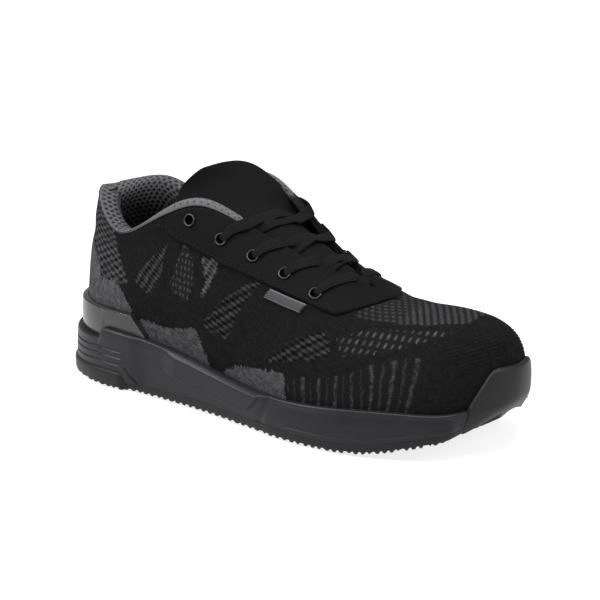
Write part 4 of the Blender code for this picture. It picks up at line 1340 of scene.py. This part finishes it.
def tab_mesh():
    shares = np.linspace(0, 1, 24)
    places = np.linspace(*TAB["places"], 60)[:, None] + TAB["slant"] * shares
    ups = np.broadcast_to(mix(*TAB["ups"], shares), places.shape)
    normals = wall_out(places, ups)
    grid = wall(places, ups) + normals * 0.1
    bottom, top = lengths_along(grid, 1)
    side, other = lengths_along(grid, 0)
    bulge = TAB["bulge"] * np.sin(np.pi * np.clip(bottom / (bottom + top), 0, 1))
    away = np.minimum(bottom, np.minimum(side, other) + 0.4)
    border = 1 - step_between(np.minimum(bottom, top), 0.5, 0.8)
    values = {"cloth": cloth_at(side, bottom), "tone": 0.6 * border}
    return patch("label_tab_woven", grid, normals, rounded(TAB["thick"] + bulge, away, 0.9, 0.3), values)


# The tongue and the lace


def tongue_face(along, across):
    """A point of the tongue's front and its normal: along from the tucked end, across from -1 to 1."""
    along, across = np.broadcast_arrays(np.asarray(along, float), np.asarray(across, float))
    curve = TONGUE_CURVE
    run_x, run_z = (curve[axis](along + TINY) - curve[axis](along - TINY) for axis in "xz")
    length = np.hypot(run_x, run_z)
    face = np.stack([run_z / length, np.zeros_like(run_x), -run_x / length], -1)
    offset, fall = across * curve["half"](along), curve["fall"](along)
    crest = np.stack([curve["x"](along), np.full(along.shape, TONGUE_MIDDLE), curve["z"](along)], -1)
    spot = crest + offset[..., None] * SIDEWAYS - (fall * offset**2)[..., None] * face
    spot[..., 0] += curve["skew"](along) * across
    return spot, unit(face + (2 * fall * offset)[..., None] * SIDEWAYS)


def along_tongue(x):
    places = np.linspace(0, len(TONGUE) - 1, 200)
    return np.interp(-x, -TONGUE_CURVE["x"](places), places)


def tongue_mesh():
    across = np.sin(np.linspace(-1, 1, 61) * np.pi / 2)
    share = np.linspace(0, 1, 120)[:, None]
    fall = np.zeros_like(across)
    for side, size, start, power in TONGUE_FALL:
        fall = fall + size * np.clip((side * across - start) / (1 - start), 0, 1) ** power
    along = (share - share**6 * fall) * (len(TONGUE) - 1)
    wider = 1 + TONGUE_WIDER * step_between(share, 0.55, 0.85) * (across < 0)
    front, normal = tongue_face(along, across * wider)
    depth = TONGUE_CURVE["thick"](along) * (1 - 0.75 * across**4)
    depth = depth * (1 - 0.5 * step_between(share, 0.96, 1.0))
    wave = 0.5 * np.sin(4.2 * across + 1.0) * step_between(share, 0.72, 0.95)
    back = front + normal * (wave - depth)[..., None]
    front = front + normal * wave[..., None]
    wide, long = TONGUE_CLOTH
    cloth = cloth_at(across * wide, share * long)
    ring, cloth = (np.concatenate([a, b[:, ::-1]], axis=1) for a, b in ((front, back), (cloth, cloth)))
    shape = Shape()
    index = shape.grid(ring, {"cloth": cloth}, closed_columns=True)
    half = len(across)
    for row in (index[0], index[-1]):
        shape.zip(row[:half], row[: half - 1 : -1])
    return shape.mesh("tongue_padded", 60)


def squared(values, power):
    """A circle's sines or cosines, flattened towards a rectangle's."""
    return np.sign(values) * np.abs(values) ** power


def lace_band(shape, rows):
    """A flat woven strand through points, each with its facing direction and width."""
    steps = np.linspace(0, len(rows) - 1, 16 * len(rows))
    spots, faces = (
        np.stack([open_spline(column)(steps) for column in np.array([row[k] for row in rows]).T], -1)
        for k in (0, 1))
    width = np.interp(steps, np.arange(len(rows)), [row[2] for row in rows])
    run = np.gradient(spots, axis=0)
    faces = unit(faces - run * (np.sum(faces * run, 1) / np.maximum(np.sum(run * run, 1), 1e-9))[:, None])
    wide = unit(np.cross(faces, run))
    turns = np.linspace(0, 2 * np.pi, 20, endpoint=False)
    flat, thin = squared(np.cos(turns), 0.5), squared(np.sin(turns), 0.8)
    thick = LACE_THICK * np.clip(1.0 + 0.5 * (1 - width / LACE_WIDTH), 1, 1.4)
    ring = spots[:, None] + 0.5 * width[:, None, None] * flat[:, None] * wide[:, None]
    ring = ring + 0.5 * thick[:, None, None] * thin[:, None] * faces[:, None]
    shape.tube(ring, {"cloth": cloth_at(0.5 * LACE_WIDTH * flat[None, :], running(spots)[:, None])})


def throat_place(x):
    """The place whose rim is at x, along the open throat."""
    fine = np.linspace(4, THROAT_END, 300)
    return float(np.interp(x, RIM_X(fine), fine))


def eyelet_run(number, side):
    """A strand's first points: up through its eyelet, over the ring and to the throat's edge."""
    place, up = EYELETS[number]
    where = place if side < 0 else LOOP - place
    normal, centre = wall_out(where, up), wall(where, up)
    near = throat_place(float(centre[0]) + LACE_FORWARD[side][number])
    edge = near if side < 0 else LOOP - near
    ahead = unit(wall(edge, 1.0) - centre)
    ahead = unit(ahead - normal * ahead.dot(normal))
    rows = [
        (centre - normal * 3.2, -ahead, 3.4),
        (centre + normal * (EYESTAY_FACE + 0.3) + ahead * 0.6, normal - ahead, 3.8),
        (centre + normal * (EYESTAY_FACE + 1.3) + ahead * 3.2, normal, 4.8),
    ]
    for share, lift, wide in ((0.5, 0.9, 6.2), (1.0, 0.6, LACE_WIDTH)):
        spot = (mix(where, edge, share), mix(up, 1.0, share))
        over = wall_out(*spot)
        rows.append((wall(*spot) + over * (EYESTAY_FACE + lift), over, wide))
    return rows


def over_tongue(x, across, lift):
    """A strand's point over the tongue."""
    spot, normal = tongue_face(along_tongue(x), across)
    return spot + normal * lift, normal, LACE_WIDTH


def lace_strand(shape, number, side, middle):
    """From an eyelet over the tongue and under the far edge of the throat, one eyelet lower."""
    rows = eyelet_run(number, side)
    start_x = float(rows[-1][0][0])
    far_place, far_up = EYELETS[number + 1]
    far = far_place if side > 0 else LOOP - far_place
    end_x = float(wall(far, far_up)[0]) - 4.0
    end_half = float(RIM_HALF(throat_place(end_x))) - 1.0
    reach = float(end_half / TONGUE_CURVE["half"](along_tongue(end_x)))
    lifts = [
        (0.30, -0.48, 2.0), (0.42, -0.24, 1.5), (0.54, 0.0, middle), (0.70, 0.36 * reach, 1.1),
        (0.86, 0.72 * reach, 0.9), (1.0, reach, 0.7),
    ]
    rows += [over_tongue(mix(start_x, end_x, share), -side * across, lift) for share, across, lift in lifts]
    for height, wide in ((0.94, LACE_WIDTH), (far_up, 4.0)):
        normal = wall_out(far, height)
        rows.append((wall(far, height) - normal * LACE_BENEATH, normal, wide))
    lace_band(shape, rows)


def lace_mesh():
    shape = Shape()
    for number, lower_side in CROSSINGS:
        for side in (-1, 1):
            lace_strand(shape, number, side, 0.9 if side == lower_side else 1.1 + LACE_THICK)
    last = len(EYELETS) - 1
    rows = eyelet_run(last, -1)
    x = float(rows[-1][0][0])
    rows += [over_tongue(x, across, 1.5 + 2.5 * abs(across)) for across in (-0.35, 0.0, 0.35)]
    lace_band(shape, rows + eyelet_run(last, 1)[::-1])
    return shape.mesh("lace", 60)


# The stage

AIM = np.array([0.0, 0.0, 50.0])  # the point of the shoe that the camera looks at
CAMERA_AZIMUTH, CAMERA_ELEVATION, CAMERA_DISTANCE = 38.0, 17.0, 1.300
PHOTO = 600.0
FOCAL_PX, CENTRE_PX = 2302.0, (291.4, 319.0)  # focal length and the aim's place in the photo
SENSOR = 36.0
FLOOR_SIZE, FLOOR_DROP, FLOOR_GREY, FLOOR_GLOW = 12, 0.0002, 0.3, 0.8
WORLD_STRENGTH = 0.4

# Area lights: azimuth and elevation round the shoe, distance and size in metres, power in watts
Light = namedtuple("Light", "azimuth elevation distance size power")
LIGHTS = {
    "top": Light(20, 78, 1.6, 1.4, 38),
    "left": Light(-45, 35, 1.6, 0.5, 20),
    "right": Light(95, 30, 1.6, 0.9, 13),
}
LIGHTS_AIM = Vector((0, 0, 0.05))


def aimed(name, data, aim, azimuth, elevation, distance):
    """A camera or light round the shoe, turned to its aim."""
    azimuth, elevation = np.radians(azimuth), np.radians(elevation)
    level = np.cos(elevation)
    back = Vector((np.sin(azimuth) * level, -np.cos(azimuth) * level, np.sin(elevation)))
    made = bpy.data.objects.new(name, data)
    made.location = aim + back * distance
    made.rotation_mode = "QUATERNION"
    made.rotation_quaternion = (-back).to_track_quat("-Z", "Y")
    bpy.context.scene.collection.objects.link(made)
    return made


def camera():
    data = bpy.data.cameras.new("camera")
    data.sensor_width = SENSOR
    data.lens = SENSOR * FOCAL_PX / PHOTO
    data.shift_x = (PHOTO / 2 - CENTRE_PX[0]) / PHOTO
    data.shift_y = (CENTRE_PX[1] - PHOTO / 2) / PHOTO
    aim = Vector((AIM - MIDDLE) * MM)
    made = aimed("camera", data, aim, CAMERA_AZIMUTH, CAMERA_ELEVATION, CAMERA_DISTANCE)
    bpy.context.scene.camera = made


def floor():
    bpy.ops.mesh.primitive_plane_add(size=FLOOR_SIZE, location=(0, 0, -FLOOR_DROP))
    made = bpy.context.object
    made.name = "floor"
    look = Look("floor", 1.0, specular=0.0)
    look.colour((FLOOR_GREY, FLOOR_GREY, FLOOR_GREY, 1))
    look.shader.inputs["Emission Color"].default_value = (1, 1, 1, 1)
    look.shader.inputs["Emission Strength"].default_value = FLOOR_GLOW
    made.data.materials.append(look.material)


def lights():
    for name, light in LIGHTS.items():
        data = bpy.data.lights.new(name, "AREA")
        data.size = light.size
        data.energy = light.power
        aimed(name, data, LIGHTS_AIM, light.azimuth, light.elevation, light.distance)
    world = bpy.data.worlds.new("studio")
    bpy.context.scene.world = world
    world.use_nodes = True
    background = world.node_tree.nodes["Background"]
    background.inputs["Color"].default_value = (1, 1, 1, 1)
    background.inputs["Strength"].default_value = WORLD_STRENGTH
    bpy.context.scene.view_settings.view_transform = "Standard"


def main():
    lining, rubber, metal = lining_look(), plain_look("rubber"), plain_look("metal")
    piece("upper_knit", upper_mesh(), knit_look(), "knit", "upper")
    piece("midsole_foam", midsole_mesh(), plain_look("foam"), "foam", "midsole")
    piece("outsole_rubber", outsole_mesh(), rubber, "tread", "outsole")
    piece("toe_bumper", bumper_mesh(), rubber, "tread")
    piece("heel_clip_shell", clip_mesh(), plain_look("clip"), "clip", "heel_clip")
    piece("insole_sheet", insole_mesh(), lining, "lining", "insole")
    piece("eyestay_overlay", eyestay_mesh(), plain_look("overlay"), "overlay", "eyestay")
    piece("eyestay_stitches", stitch_mesh(), plain_look("thread"), "cord")
    collar = piece("collar_padding", lining_mesh(), lining, "lining", "collar_lining")
    tongue = piece("tongue_padded", tongue_mesh(), plain_look("tongue"), "knit", "tongue")
    piece("label_tab_woven", tab_mesh(), woven_look(), "woven", "label_tab")
    for spot, place, up in eyelet_spots():
        name = f"eyelet_ring_{spot}"
        piece(name, eyelet_mesh(name, place, up), metal, "metal", f"eyelet_{spot}")
    crossings = [f"lace_crossing_{number}" for number, _ in CROSSINGS]
    piece("lace", lace_mesh(), cord_look(), "cord", *crossings, "lace_bar")
    camera()
    floor()
    lights()


main()
